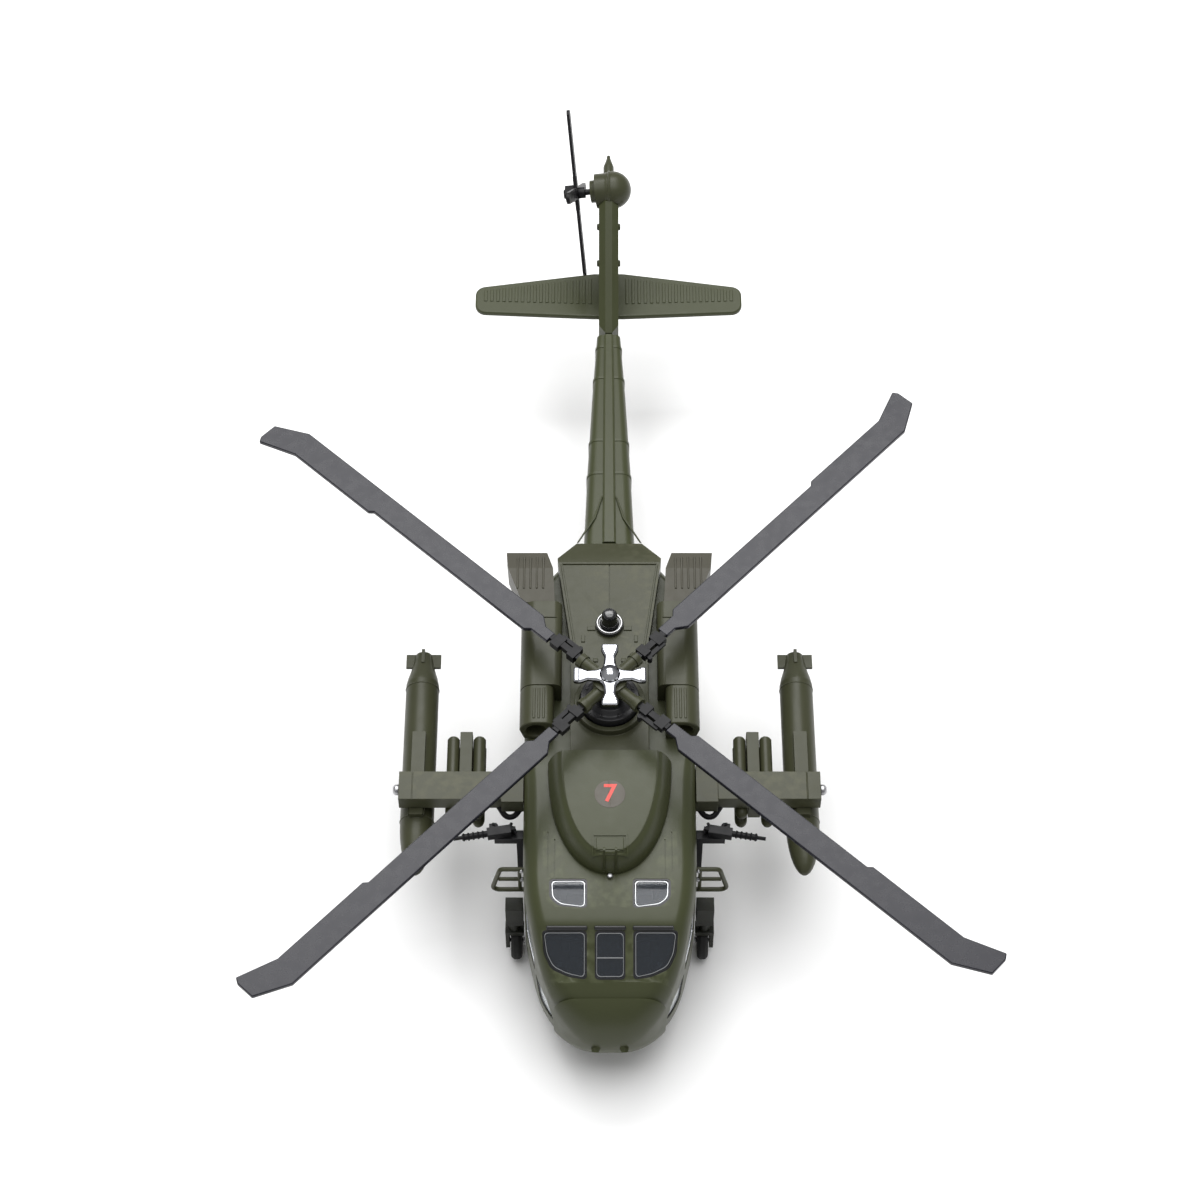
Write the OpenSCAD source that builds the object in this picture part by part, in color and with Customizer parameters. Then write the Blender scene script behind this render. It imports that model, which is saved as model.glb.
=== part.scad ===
// Toy transport helicopter, about 1:61, die-cast and plastic.
// +Z up, nose towards -Y, origin on the ground under the middle of the outline.
// Lengths along the fuselage are counted from the rotor mast, aft positive.

/* [Main rotor] */
// Radius swept by the main rotor blades
rotor_r = 113.6; // [100:0.5:125]
// Chord of a main rotor blade
blade_chord = 6; // [5:0.1:8]
// Thickness of a main rotor blade
blade_t = 1.2; // [0.9:0.1:1.8]
// Height of the middle of the blades above the ground
rotor_z = 57; // [56:0.5:64]
// Distance from the mast to the end of a hub arm
hub_arm_r = 9.5; // [8:0.5:12]
// Distance from the mast to the root of a blade
blade_root_r = 18.7; // [16:0.5:24]
// Distance from the mast to where the swept tip starts
blade_sweep_r = 105; // [100:0.5:108]
// Turn of the rotor at rest, from the corners of the fuselage
rotor_turn = 2; // [-10:1:10]
// Radius of the steel mast
mast_r = 1.5; // [1.2:0.1:2]
// Length of one arm of the plated cross on the hub
cross_arm = 8.5; // [7:0.5:10]

/* [Fuselage] */
// Distance from the mast forward to the tip of the nose
nose_len = 74.4; // [72:0.2:84]
// Full width of the cabin
cabin_w = 40.8; // [38:0.2:44]
// Height of the flat belly above the ground
belly_z = 8; // [7:0.5:9]
// Height of the cabin roof above the ground
roof_z = 41; // [40:0.5:43]
// Height of the seam between the belly pan and the upper shell
seam_z = 14; // [13:0.5:15]
// Wall of the cast upper shell
shell_t = 1.2; // [1:0.1:1.5]
// Distance from the mast aft to where the tail boom starts
boom_start = 53; // [52:1:58]
// Distance from the mast aft to where the tail boom meets the fin
boom_end = 123.6; // [120:0.2:126]

/* [Roof] */
// Height of the top of the pylon fairing above the roof
fairing_h = 7; // [5:0.5:7.5]
// Half width of the pylon fairing at the roof
fairing_hw = 14.6; // [13.6:0.2:15.8]
// Length of the pylon fairing in front of the mast fairing
fairing_len = 29.4; // [27:0.2:32]
// Half width of the deck behind the mast
deck_hw = 9.3; // [8.5:0.1:9.6]
// Height of the engine nacelles above the roof
nacelle_h = 7.2; // [6:0.2:7.4]
// Half width over the engine nacelles
nacelle_hw = 21.4; // [20.8:0.1:22.5]

/* [Tail] */
// Height of the tail rotor shaft above the ground
tail_rotor_z = 57; // [54:0.5:60]
// Distance from the mast aft to the tail rotor shaft
tail_rotor_y = 156.8; // [155:0.2:160]
// Radius swept by the tail rotor
tail_rotor_r = 22; // [18:0.5:23]
// Distance of the tail rotor disc from the middle of the fin
tail_rotor_x = 8.7; // [8.2:0.1:10]
// Lean of the tail rotor shaft from level
tail_cant = 8; // [0:1:9]
// Half span of the stabilator
stab_hs = 36; // [30:1:42]
// Chord of the stabilator
stab_chord = 15.4; // [13:0.2:16]
// Thickness of the stabilator
stab_t = 1.6; // [1.2:0.1:2]
// Height of the middle of the stabilator
stab_z = 31; // [30:0.5:32]

/* [Stores] */
// Distance from the middle to the tip of a stub wing
wing_tip_x = 50; // [50:0.5:54]
// Thickness of a stub wing
wing_t = 4.6; // [3.6:0.2:5]
// Height of the top of the stub wings
wing_top_z = 38; // [37:0.5:39]
// Diameter of a long-range tank
tank_d = 8.1; // [7:0.1:8.4]
// Length of a long-range tank without its fins
tank_len = 62; // [50:1:66]
// Distance from the middle to a tank
tank_x = 46; // [45:0.5:46.5]
// Diameter of a missile
missile_d = 3; // [2.2:0.1:3]
// Length of a missile
missile_len = 22.4; // [20:0.2:25]
// Distance from the middle to a missile rack
rack_x = 34.5; // [33:0.5:35.5]

/* [Landing gear] */
// Radius of a main wheel
wheel_r = 4.7; // [4:0.1:5]
// Width of a main wheel
wheel_w = 2.6; // [2.2:0.1:2.8]
// Distance from the middle to a main wheel
wheel_x = 22.4; // [22.2:0.1:23]
// Radius of the tail wheel
tail_wheel_r = 3; // [2.5:0.1:3.4]
// Distance from the mast aft to the tail wheel leg
tail_leg_y = 103; // [95:1:108]
// Radius of the wheel axles
axle_r = 0.5; // [0.4:0.05:0.6]

/* [Door guns] */
// Length of a gun barrel in front of its pivot
barrel_len = 11; // [9:0.5:12]
// Distance from the middle to a gun pivot
gun_x = 26; // [25.5:0.1:26.5]
// Distance from the mast forward to the gun pivots
gun_y = 26; // [25.5:0.5:27]

/* [Fits] */
// Radial clearance of turning pins in their bores
run_fit = 0.05; // [0.02:0.01:0.08]
// Gap around pieces that are pushed or glued together
push_fit = 0.03; // [0.02:0.01:0.06]
// Gap under turning pieces
end_play = 0.3; // [0.2:0.05:0.4]

/* [Hidden] */
$fn = 40;
tip_angle = 45 + rotor_turn;
front_y = rotor_r * sin(tip_angle) - 1.1;
tail_blade_angle = 43.4;
aft_y = tail_rotor_y + (tail_rotor_r - 1.5) * cos(tail_blade_angle) + 1.5;
mast_y = (front_y - aft_y) / 2;
cabin_hw = cabin_w / 2;
shield_y = -nose_len + 9;
shield_z = roof_z - 10;
slab_t = 0.3;
nose_seam_y = shield_y + 0.4;
tail_seam_y = boom_start - slab_t / 2 - 0.02;
fin_y = boom_end + slab_t / 2 + 0.02;
wheel_y = -40;
step_y = -36.5;
mast_foot_z = roof_z - 7;
hub_half_h = 2;
cross_z = rotor_z + hub_half_h;
cross_t = 1.7;
deck_z = roof_z + 4;
bowl_z = roof_z + 8;
bush_r = mast_r + 1.2;
fin_hw = 2.6;
gearbox_r = 5;
tail_pin_r = 0.8;
wing_y = -16.5;
wing_bottom_z = wing_top_z - wing_t;
tank_z = wing_bottom_z - 1.4 - tank_d / 2;
missile_z = 29.7;
missile_dx = 3.15;
missile_dz = 1.95;
gun_z = 31;
gun_pin_r = 0.6;
panel_y = shield_y + 6;
exhaust_y = 29.5;
nacelle_y = 5.3;
nacelle_in_x = deck_hw + 2.2;
hatch_y = -37.6;
jammer_y = 24.3;
stab_y = boom_end + 10.7;

// Fuselage stations from the nose aft: y, half width, underside, top, lower and upper corner radius
STATIONS = [
    [-nose_len, cabin_hw - 15.2, belly_z + 6, roof_z - 20.5, 3, 3],
    [-nose_len + 1.6, cabin_hw - 12.2, belly_z + 3.6, roof_z - 16.5, 4.5, 4.5],
    [-nose_len + 4.6, cabin_hw - 9.1, belly_z + 1.5, roof_z - 12.8, 5, 6],
    [shield_y, cabin_hw - 6, belly_z + 0.5, shield_z, 5, 6],
    [shield_y + 5.5, cabin_hw - 3.8, belly_z, roof_z - 5.6, 4, 5],
    [shield_y + 11, cabin_hw - 2.2, belly_z, roof_z - 1.6, 4, 4.5],
    [-50, cabin_hw - 1.2, belly_z, roof_z - 0.7, 4, 4.5],
    [-45, cabin_hw - 0.4, belly_z, roof_z, 4, 4.5],
    [-38, cabin_hw, belly_z, roof_z, 4, 4.5],
    [-14, cabin_hw, belly_z, roof_z, 4, 4.5],
    [-8, cabin_hw, belly_z, roof_z, 4, 2.2],
    [32, cabin_hw, belly_z, roof_z, 4, 2.2],
    [37, cabin_hw - 1.4, belly_z + 0.6, roof_z, 4, 2.5],
    [boom_start - 7, cabin_hw - 8, belly_z + 5.5, roof_z, 4, 4],
    [boom_start, cabin_hw - 13.2, belly_z + 11.5, roof_z - 1, 3, 3]
];

// Tail boom stations, in the same terms
BOOM = [
    [boom_start, 6.4, belly_z + 12.5, roof_z - 1.5, 2.6, 2.6],
    [(boom_start + boom_end) / 2 - 10, 5.5, belly_z + 14.5, roof_z - 2.5, 2.4, 2.4],
    [boom_end - 20, 4.3, belly_z + 16.8, roof_z - 3.5, 2, 2],
    [boom_end, 3.1, belly_z + 18, roof_z - 4.4, 1.4, 1.4]
];

// Points of a rounded cross-section, counted round from the lower right
function arc(cx, cz, r, from) = [for (a = [from : 15 : from + 90]) [cx + r * cos(a), cz + r * sin(a)]];
function section(hw, z0, z1, rl, ru) = concat(
    arc(hw - rl, z0 + rl, rl, -90), arc(hw - ru, z1 - ru, ru, 0),
    arc(ru - hw, z1 - ru, ru, 90), arc(rl - hw, z0 + rl, rl, 180));

module at_mast() translate([0, mast_y, 0]) children();

module slab(s, inset) {
    translate([0, s[0], 0])
    rotate([90, 0, 0])
    linear_extrude(slab_t, center = true)
    polygon(section(s[1] - inset, s[2] + inset, s[3] - inset, s[4] - inset * 0.6, s[5] - inset * 0.6));
}

// Solid of the fuselage, its whole skin set inwards by inset
module body_solid(inset = 0) {
    for (i = [0 : len(STATIONS) - 2])
        hull() {
            translate([0, i == 0 ? inset : 0, 0]) slab(STATIONS[i], inset);
            slab(STATIONS[i + 1], inset);
        }
}

module boom_solid() {
    for (i = [0 : len(BOOM) - 2])
        hull() {
            slab(BOOM[i], 0);
            slab(BOOM[i + 1], 0);
        }
}

// Everything between two stations and two heights
module zone(y0, y1, z0, z1, hw = 60) {
    translate([-hw, y0, z0]) cube([2 * hw, y1 - y0, z1 - z0]);
}

// Mirror image across the middle of the aircraft for side = -1
module on_side(side) {
    if (side > 0) children();
    else mirror([1, 0, 0]) children();
}

// A rounded opening through one side wall
module side_opening(y0, y1, z0, z1) {
    translate([cabin_hw - 6, y0 + 1.5, z0 + 1.5])
    rotate([90, 0, 90])
    linear_extrude(10)
    polygon(concat(
        arc(y1 - y0 - 3, 0, 1.5, -90), arc(y1 - y0 - 3, z1 - z0 - 3, 1.5, 0),
        arc(0, z1 - z0 - 3, 1.5, 90), arc(0, 0, 1.5, 180)));
}

SIDE_WINDOWS = [
    [shield_y + 9, shield_y + 19.4, seam_z + 8, roof_z - 7.5],
    [-44, -35, seam_z + 10, roof_z - 7], [-32, -24, seam_z + 10, roof_z - 7],
    [-7, 4, seam_z + 10, roof_z - 7], [8, 19, seam_z + 10, roof_z - 7]
];
CABIN_PANE = [-9, 21];

// The three windshield panes, the two roof windows and the two chin windows, as cutters
module glass_openings() {
    slope = atan2(roof_z - 1.6 - shield_z, 11);
    translate([0, shield_y, shield_z])
    rotate([slope, 0, 0])
    for (x = [-9.6, 0, 9.6])
        translate([x - (x == 0 ? 3.4 : 4.9), 1.6, -3])
        cube([x == 0 ? 6.8 : 9.8, 11, 6]);
    for (side = [-1, 1])
        on_side(side) {
            translate([5, -50.6, roof_z - 4]) cube([8.4, 6.5, 8]);
            translate([cabin_hw - 8.5, shield_y - 1, seam_z + 4]) rotate([0, 0, 18]) cube([8, 7, 9]);
            for (w = SIDE_WINDOWS) side_opening(w[0], w[1], w[2], w[3]);
        }
}

module fuselage_shell() {
    color("#4a5032")
    at_mast()
    difference() {
        intersection() {
            body_solid();
            zone(nose_seam_y, tail_seam_y, seam_z, roof_z + 5);
        }
        intersection() {
            body_solid(shell_t);
            zone(-nose_len, boom_start - 4, seam_z - 5, roof_z + 1);
        }
        glass_openings();
        translate([0, 0, roof_z - 5]) cylinder(h = 10, r = bush_r + 0.4);
    }
}

module belly_pan() {
    color("#444a2e")
    at_mast()
    difference() {
        union() {
            difference() {
                intersection() {
                    body_solid();
                    zone(nose_seam_y, tail_seam_y, 0, seam_z);
                }
                intersection() {
                    body_solid(1.5);
                    zone(-nose_len, 36, 0, seam_z + 5);
                }
            }
            for (p = SCREWS)
                translate([p[0], p[1], belly_z + 1]) cylinder(h = seam_z - belly_z - 1, r = 2.4);
        }
        for (p = SCREWS) {
            translate([p[0], p[1], belly_z - 1]) cylinder(h = 3, r = screw_head_r + push_fit);
            translate([p[0], p[1], belly_z]) cylinder(h = 20, r = screw_r + push_fit);
        }
    }
}

SCREWS = [[-12, -52], [12, -52], [0, 28]];
screw_r = 0.8;
screw_head_r = 1.6;

module body_screws() {
    color("#b8b8b8")
    at_mast()
    for (p = SCREWS)
        translate([p[0], p[1], belly_z + 0.9])
        difference() {
            union() {
                cylinder(h = 1.08, r = screw_head_r);
                cylinder(h = seam_z - belly_z + 0.5, r = screw_r);
            }
            for (a = [0, 90]) rotate([0, 0, a]) translate([-1, -0.2, -1]) cube([2, 0.4, 1.5]);
        }
}

module nose_cap() {
    color("#3f452b")
    at_mast()
    difference() {
        intersection() {
            body_solid();
            zone(-nose_len - 1, nose_seam_y - 0.02, 0, roof_z);
        }
        intersection() {
            body_solid(shell_t);
            zone(-nose_len, shield_y + 1, 0, roof_z);
        }
    }
}

module cockpit_glazing() {
    color("#8a9aa0", 0.5)
    at_mast()
    difference() {
        intersection() {
            body_solid(shell_t + 0.05);
            zone(shield_y + 0.3, -20, seam_z + 1.7, roof_z);
        }
        body_solid(shell_t + 0.85);
    }
}

module cabin_glazing() {
    color("#8a9aa0", 0.5)
    at_mast()
    for (side = [-1, 1])
        on_side(side)
        translate([cabin_hw - shell_t - 0.85, CABIN_PANE[0], seam_z + 8])
        cube([0.8, CABIN_PANE[1] - CABIN_PANE[0], roof_z - seam_z - 13]);
}

module cabin_floor() {
    color("#2c2f24")
    at_mast()
    difference() {
        translate([-cabin_hw + 4.4, shield_y + 8, seam_z])
        cube([2 * cabin_hw - 8.8, 35 - shield_y - 8, 1.5]);
        for (p = SCREWS) translate([p[0], p[1], seam_z - 1]) cylinder(h = 5, r = screw_r + push_fit);
    }
}

module instrument_panel() {
    color("#1c1d1a")
    at_mast()
    translate([-9.5, panel_y + 2.2, seam_z + 1.5])
    difference() {
        cube([19, 4, roof_z - 14 - seam_z]);
        translate([-1, 4, 4]) rotate([-12, 0, 0]) cube([21, 4, 20]);
    }
}

module pilot_seats() {
    color("#23241f")
    at_mast()
    for (x = [-8, 8])
        translate([x - 3.5, -48.5, seam_z + 1.5]) {
            cube([7, 7, 5]);
            translate([0, 5.5, 5]) cube([7, 1.5, 9]);
            translate([1.5, 5.5, 14]) cube([4, 1.5, 3]);
        }
}

module cabin_bulkhead() {
    color("#2c2f24")
    at_mast()
    translate([-cabin_hw + 4.4, -19.5, seam_z + 1.5])
    cube([2 * cabin_hw - 8.8, 1.2, roof_z - seam_z - 4.5]);
}

module pylon_fairing() {
    color("#5a6040")
    at_mast()
    difference() {
        hull() {
            fairing_outline(fairing_hw, fairing_len, roof_z);
            fairing_outline(fairing_hw, fairing_len, roof_z + 0.8);
            fairing_outline(fairing_hw - 3.4, fairing_len - 4.6, roof_z + fairing_h);
        }
        translate([0, hatch_y, roof_z + fairing_h - 1.6])
        rotate([-2, 0, 0])
        translate([-3.8, -2.3, 2]) cube([7.6, 4.6, 0.3]);
    }
}

// Plan of the pylon fairing: square at the back, a half ellipse in front
module fairing_outline(hw, depth, z) {
    translate([0, -13, z])
    linear_extrude(0.02)
    polygon([for (a = [180 : 10 : 360]) [hw * cos(a), depth * sin(a)]]);
}

module mast_fairing() {
    color("#4a5032")
    at_mast()
    difference() {
        union() {
            translate([-deck_hw, -12.98, roof_z]) cube([2 * deck_hw, 25, bowl_z - roof_z - 2]);
            translate([0, 0, roof_z]) cylinder(h = bowl_z - roof_z, r = 8.4);
            translate([0, 0, mast_foot_z + 2]) cylinder(h = roof_z - mast_foot_z - 1.5, r = bush_r + 0.3);
        }
        translate([0, 0, roof_z + 3]) cylinder(h = 10, r = 7.2);
        cylinder(h = 100, r = bush_r - 0.4);
        translate([0, 0, mast_foot_z + 3]) cylinder(h = 40, r = bush_r + push_fit);
    }
}

module mast_bush() {
    color("#c8a050")
    at_mast()
    difference() {
        translate([0, 0, mast_foot_z + 3]) cylinder(h = roof_z + 5.5 - mast_foot_z - 3, r = bush_r);
        cylinder(h = 100, r = mast_r + run_fit);
    }
}

module swashplate() {
    color("#15161a")
    at_mast()
    difference() {
        union() {
            translate([0, 0, roof_z + 3]) cylinder(h = bowl_z - roof_z - 1, r = 6.9);
            translate([0, 0, bowl_z + 1]) cylinder(h = 2, r1 = 6.9, r2 = 4.6, $fn = 48);
        }
        cylinder(h = 100, r = bush_r + push_fit);
    }
}

module engine_deck() {
    color("#666b4a")
    at_mast()
    difference() {
        union() {
            translate([0, 0, roof_z])
            linear_extrude(deck_z - roof_z)
            polygon([
                [-deck_hw, 12.02], [deck_hw, 12.02], [deck_hw, 18.4], [deck_hw + 3.4, 43.4],
                [-deck_hw - 3.4, 43.4], [-deck_hw, 18.4]]);
            hull() {
                translate([-deck_hw - 3.4, 43.3, roof_z]) cube([2 * deck_hw + 6.8, 0.1, deck_z - roof_z]);
                translate([-deck_hw - 3.5, 45, roof_z]) cube([2 * deck_hw + 7, 0.1, deck_z - roof_z - 0.8]);
                translate([-deck_hw + 1.2, boom_start - 1.6, roof_z]) cube([2 * deck_hw - 2.4, 0.1, 0.6]);
            }
        }
        translate([0, jammer_y, deck_z - 2]) cylinder(h = 10, r = 2.8 + push_fit);
    }
}

module jammer_base() {
    color("#c4c4c8")
    at_mast()
    translate([0, jammer_y, deck_z - 2])
    difference() {
        union() {
            cylinder(h = 2, r = 2.8);
            translate([0, 0, 2]) cylinder(h = 1.2, r = 3.4);
        }
        translate([0, 0, 0.8]) cylinder(h = 10, r = 2.2 + push_fit);
    }
}

module jammer_dome() {
    color("#101114")
    at_mast()
    translate([0, jammer_y, deck_z - 1.2])
    rotate_extrude($fn = 40)
    polygon([[0, 0], [2.2, 0], [2.2, 3.4], [1.9, 4.4], [1.9, 6], [1.4, 6.8], [0, 7.1]]);
}

module nacelle(side) {
    color("#4c5036")
    at_mast()
    on_side(side)
    translate([0, exhaust_y, 0])
    rotate([90, 0, 0])
    linear_extrude(exhaust_y - nacelle_y)
    nacelle_outline(nacelle_in_x);
}

// Cross-section of a nacelle: flat on the roof, rounded outside and on top
module nacelle_outline(x0) {
    r = 3.6;
    polygon(concat(
        [[x0, roof_z], [nacelle_hw - 1, roof_z]],
        [for (a = [0 : 15 : 90]) [nacelle_hw - r + r * cos(a), roof_z + nacelle_h - r + r * sin(a)]],
        [for (a = [90 : 15 : 180]) [x0 + 2 + 2 * cos(a), roof_z + nacelle_h - 2 + 2 * sin(a)]]));
}

module nacelle_left() nacelle(1);
module nacelle_right() nacelle(-1);

module intake(side) {
    color("#565a3c")
    at_mast()
    on_side(side)
    difference() {
        translate([0, nacelle_y - 0.02, 0])
        rotate([90, 0, 0])
        linear_extrude(10.8)
        nacelle_outline(deck_hw + 4);
        translate([(deck_hw + 4 + nacelle_hw) / 2, nacelle_y - 7.2, roof_z + nacelle_h / 2 - 0.2])
        rotate([90, 0, 0])
        cylinder(h = 6, r1 = 2, r2 = 2.8);
    }
}

module intake_left() intake(1);
module intake_right() intake(-1);

module exhaust(side) {
    color("#55573a")
    at_mast()
    on_side(side)
    difference() {
        hull() {
            translate([deck_hw + 4, exhaust_y + 0.02, roof_z]) cube([8, 0.1, nacelle_h - 0.6]);
            translate([deck_hw + 6, exhaust_y + 15, roof_z + 0.4]) cube([10, 0.1, nacelle_h - 1.4]);
            translate([deck_hw + 4.5, exhaust_y + 10, roof_z]) cube([11, 0.1, nacelle_h - 0.4]);
        }
        translate([deck_hw + 7.2, exhaust_y + 11, roof_z + 1.6]) cube([7.6, 6, nacelle_h - 3.6]);
    }
}

module exhaust_left() exhaust(1);
module exhaust_right() exhaust(-1);

module tail_boom() {
    color("#474d31")
    at_mast() {
        boom_solid();
        hull() {
            translate([-1.7, boom_start, roof_z - 3]) cube([3.4, 0.1, 2.2]);
            translate([-1.2, boom_end - 0.1, roof_z - 6]) cube([2.4, 0.1, 2.2]);
        }
    }
}

// Side view of the fin, drawn in y and z
FIN = [
    [fin_y, belly_z + 18.4], [boom_end + 20, belly_z + 19.6], [boom_end + 24, stab_z + 1],
    [tail_rotor_y + 5.5, tail_rotor_z - 5], [tail_rotor_y + 2, tail_rotor_z],
    [tail_rotor_y - 5, tail_rotor_z + 1], [fin_y, roof_z - 3.6]
];

module fin_slice(t, scale_by) {
    translate([0, 146, 42])
    rotate([90, 0, 90])
    linear_extrude(2 * t, center = true)
    polygon([for (p = FIN) [(p[0] - 146) * scale_by, (p[1] - 42) * scale_by]]);
}

module tail_fin() {
    color("#4a5032")
    at_mast()
    difference() {
        hull() {
            fin_slice(0.9, 1);
            intersection() {
                fin_slice(fin_hw, 0.9);
                zone(fin_y, 200, 0, 100);
            }
        }
        stab_outline(stab_t + 2 * push_fit, push_fit);
        tail_housing(push_fit);
    }
}

// Plan of the stabilator, thickened; grow widens the outline for its slot
module stab_outline(t, grow) {
    back = stab_y + stab_chord;
    translate([0, 0, stab_z - t / 2])
    linear_extrude(t)
    offset(delta = grow)
    offset(r = 3) offset(delta = -3)
    polygon([
        [-stab_hs, stab_y + 1.6], [-4, stab_y], [4, stab_y], [stab_hs, stab_y + 1.6],
        [stab_hs, back - 5], [4, back], [-4, back], [-stab_hs, back - 5]]);
}

module stabilator() {
    color("#4f5537")
    at_mast()
    stab_outline(stab_t, 0);
}

module tail_housing(grow) {
    translate([1, tail_rotor_y, tail_rotor_z]) sphere(r = gearbox_r + grow, $fn = 48);
    translate([0, tail_rotor_y, tail_rotor_z])
    rotate([0, -90 - tail_cant, 0]) {
        cylinder(h = 3.4, r = gearbox_r - 0.4 + grow);
        translate([0, 0, 3.3]) cylinder(h = 1.5 + grow, r = gearbox_r - 2 + grow);
    }
}

module tail_gearbox() {
    color("#5a5a40")
    at_mast()
    difference() {
        tail_housing(0);
        translate([0, tail_rotor_y, tail_rotor_z])
        rotate([0, -90 - tail_cant, 0])
        translate([0, 0, -1]) cylinder(h = 12, r = tail_pin_r + run_fit);
        translate([0, tail_rotor_y, tail_rotor_z])
        rotate([-90, 0, 0]) cylinder(h = 8, r = 0.7 + push_fit);
    }
}

module tail_beacon() {
    color("#3c4228")
    at_mast()
    translate([0, tail_rotor_y + 3, tail_rotor_z])
    rotate([-90, 0, 0])
    rotate_extrude($fn = 32)
    polygon([[0, 0], [0.7, 0], [0.7, 2.1], [1.4, 2.4], [1.4, 5.2], [0.5, 8.4], [0.5, 9.2], [0, 9.6]]);
}

// Frame of the tail rotor: z runs out along its shaft to the left of the aircraft's tail
module at_tail_rotor() {
    translate([0, tail_rotor_y, tail_rotor_z]) rotate([0, -90 - tail_cant, 0]) children();
}

module tail_rotor_hub() {
    color("#1a1b1f")
    at_mast()
    at_tail_rotor() {
        translate([0, 0, -0.8]) cylinder(h = tail_rotor_x + 0.8, r = tail_pin_r);
        translate([0, 0, tail_rotor_x + 0.5]) {
            translate([-1.6, -1.6, 0]) cube([3.2, 3.2, 2.4]);
            cylinder(h = 2.8, r = 1.2);
        }
        translate([0, 0, tail_rotor_x - 2.4]) cylinder(h = 1.8, r = 1.5);
        translate([0, 0, tail_rotor_x - 0.7]) cylinder(h = 1.3, r = tail_pin_r);
    }
}

module tail_rotor_blades() {
    color("#15161a")
    at_mast()
    at_tail_rotor()
    translate([0, 0, tail_rotor_x - 0.6 + push_fit])
    difference() {
        for (a = [tail_blade_angle, tail_blade_angle + 90])
            rotate([0, 0, a])
            union() {
                translate([-tail_rotor_r + 1.2, -1.5, 0.1]) cube([2 * tail_rotor_r - 2.4, 3, 0.8]);
                for (s = [-1, 1]) translate([s * (tail_rotor_r - 1.5), 0, 0.1]) cylinder(h = 0.8, r = 1.5);
                translate([-4.5, -1, 0]) cube([9, 2, 1.04]);
            }
        translate([0, 0, -1]) cylinder(h = 4, r = tail_pin_r + push_fit);
    }
}

module stub_wing(side) {
    color("#565c3e")
    at_mast()
    on_side(side)
    difference() {
        union() {
            translate([cabin_hw + 0.02, wing_y - 4.6, wing_bottom_z]) cube([5.2, 10.5, wing_t]);
            translate([cabin_hw + 5, wing_y - 3.6, wing_bottom_z])
            cube([wing_tip_x - cabin_hw - 5, 7.6, wing_t - 0.4]);
        }
        translate([wing_tip_x - 2, wing_y, wing_bottom_z + wing_t / 2])
        rotate([0, 90, 0]) cylinder(h = 5, r = 0.8 + push_fit);
    }
}

module stub_wing_left() stub_wing(1);
module stub_wing_right() stub_wing(-1);

module wing_tip_bolts() {
    color("#a8a8ac")
    at_mast()
    for (side = [-1, 1])
        on_side(side)
        translate([wing_tip_x - 1.9, wing_y, wing_bottom_z + wing_t / 2])
        rotate([0, 90, 0])
        rotate_extrude($fn = 32)
        polygon([[0, 0], [0.8, 0], [0.8, 1.92], [1.3, 1.92], [1.3, 2.8], [0.8, 3.3], [0, 3.4]]);
}

module tank(side) {
    r = tank_d / 2;
    color("#4c5236")
    at_mast()
    on_side(side)
    translate([tank_x, -4.2, tank_z]) {
        rotate([-90, 0, 0])
        rotate_extrude($fn = 48)
        polygon(concat(
            [for (a = [0 : 10 : 90]) [r * sin(a), -tank_len / 2 + 14 - 14 * cos(a)]],
            [[r, tank_len / 2 - 9], [r * 0.9, tank_len / 2 - 7], [r * 0.66, tank_len / 2 - 3.6]],
            [[r * 0.5, tank_len / 2], [0, tank_len / 2]]));
        translate([-4.3, tank_len / 2 - 3.6, -0.4]) cube([8.6, 3.8, 0.8]);
        translate([-0.4, tank_len / 2 - 3.6, -3]) cube([0.8, 3.8, 6]);
        translate([-1.6, -17.6, 0]) cube([3.2, 23.2, r + 1.4]);
        translate([-2, -17, r - 0.9]) cube([4, 9, 1.6]);
    }
}

module tank_left() tank(1);
module tank_right() tank(-1);

module missile_rack(side) {
    color("#484e33")
    at_mast()
    on_side(side)
    translate([rack_x, wing_y, 0]) {
        translate([-1.5, -2.6, missile_z - 2.6]) cube([3, 20.4, wing_bottom_z - missile_z + 2.6]);
        translate([-missile_dx, -1, missile_z - 0.4]) cube([2 * missile_dx, 10, 0.8]);
    }
}

module missile_rack_left() missile_rack(1);
module missile_rack_right() missile_rack(-1);

module missiles(side) {
    r = missile_d / 2;
    color("#6a6f55")
    at_mast()
    on_side(side)
    for (dx = [-missile_dx, missile_dx], dz = [-missile_dz, missile_dz])
        translate([rack_x + dx, wing_y - 5.5, missile_z + dz])
        rotate([-90, 0, 0])
        rotate_extrude($fn = 32)
        polygon(concat(
            [for (a = [0 : 15 : 90]) [r * sin(a), r * 1.3 * (1 - cos(a))]],
            [[r, missile_len - 0.6], [r - 0.4, missile_len], [0, missile_len]]));
}

module missiles_left() missiles(1);
module missiles_right() missiles(-1);

// A ladder of two cells, standing crossways beside the cockpit door
module step_frame(side) {
    bar = 1.2;
    low = 23.4;
    high = 33;
    middle = 28.4;
    inner = cabin_hw + 0.9;
    out = cabin_hw + 5.6;
    lean = 1.7;
    color("#484e33")
    at_mast()
    on_side(side)
    translate([0, step_y + bar / 2, 0])
    rotate([90, 0, 0])
    linear_extrude(bar)
    difference() {
        polygon([
            [cabin_hw + 0.3, low - bar / 2], [out + lean, low + bar / 2], [out + lean + bar / 2, low + bar],
            [out + bar / 2, high - bar / 2], [out, high + bar / 2], [cabin_hw + 0.3, high + bar / 2]]);
        polygon([
            [inner + bar, low + bar], [out + lean - bar / 2, low + bar + 0.4],
            [out + lean / 2, middle - bar / 2], [inner + bar, middle - bar / 2]]);
        polygon([
            [inner + bar, middle + bar / 2], [out + lean / 2 - bar / 2, middle + bar / 2],
            [out - bar / 2, high - bar / 2], [inner + bar, high - bar / 2]]);
    }
}

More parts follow.
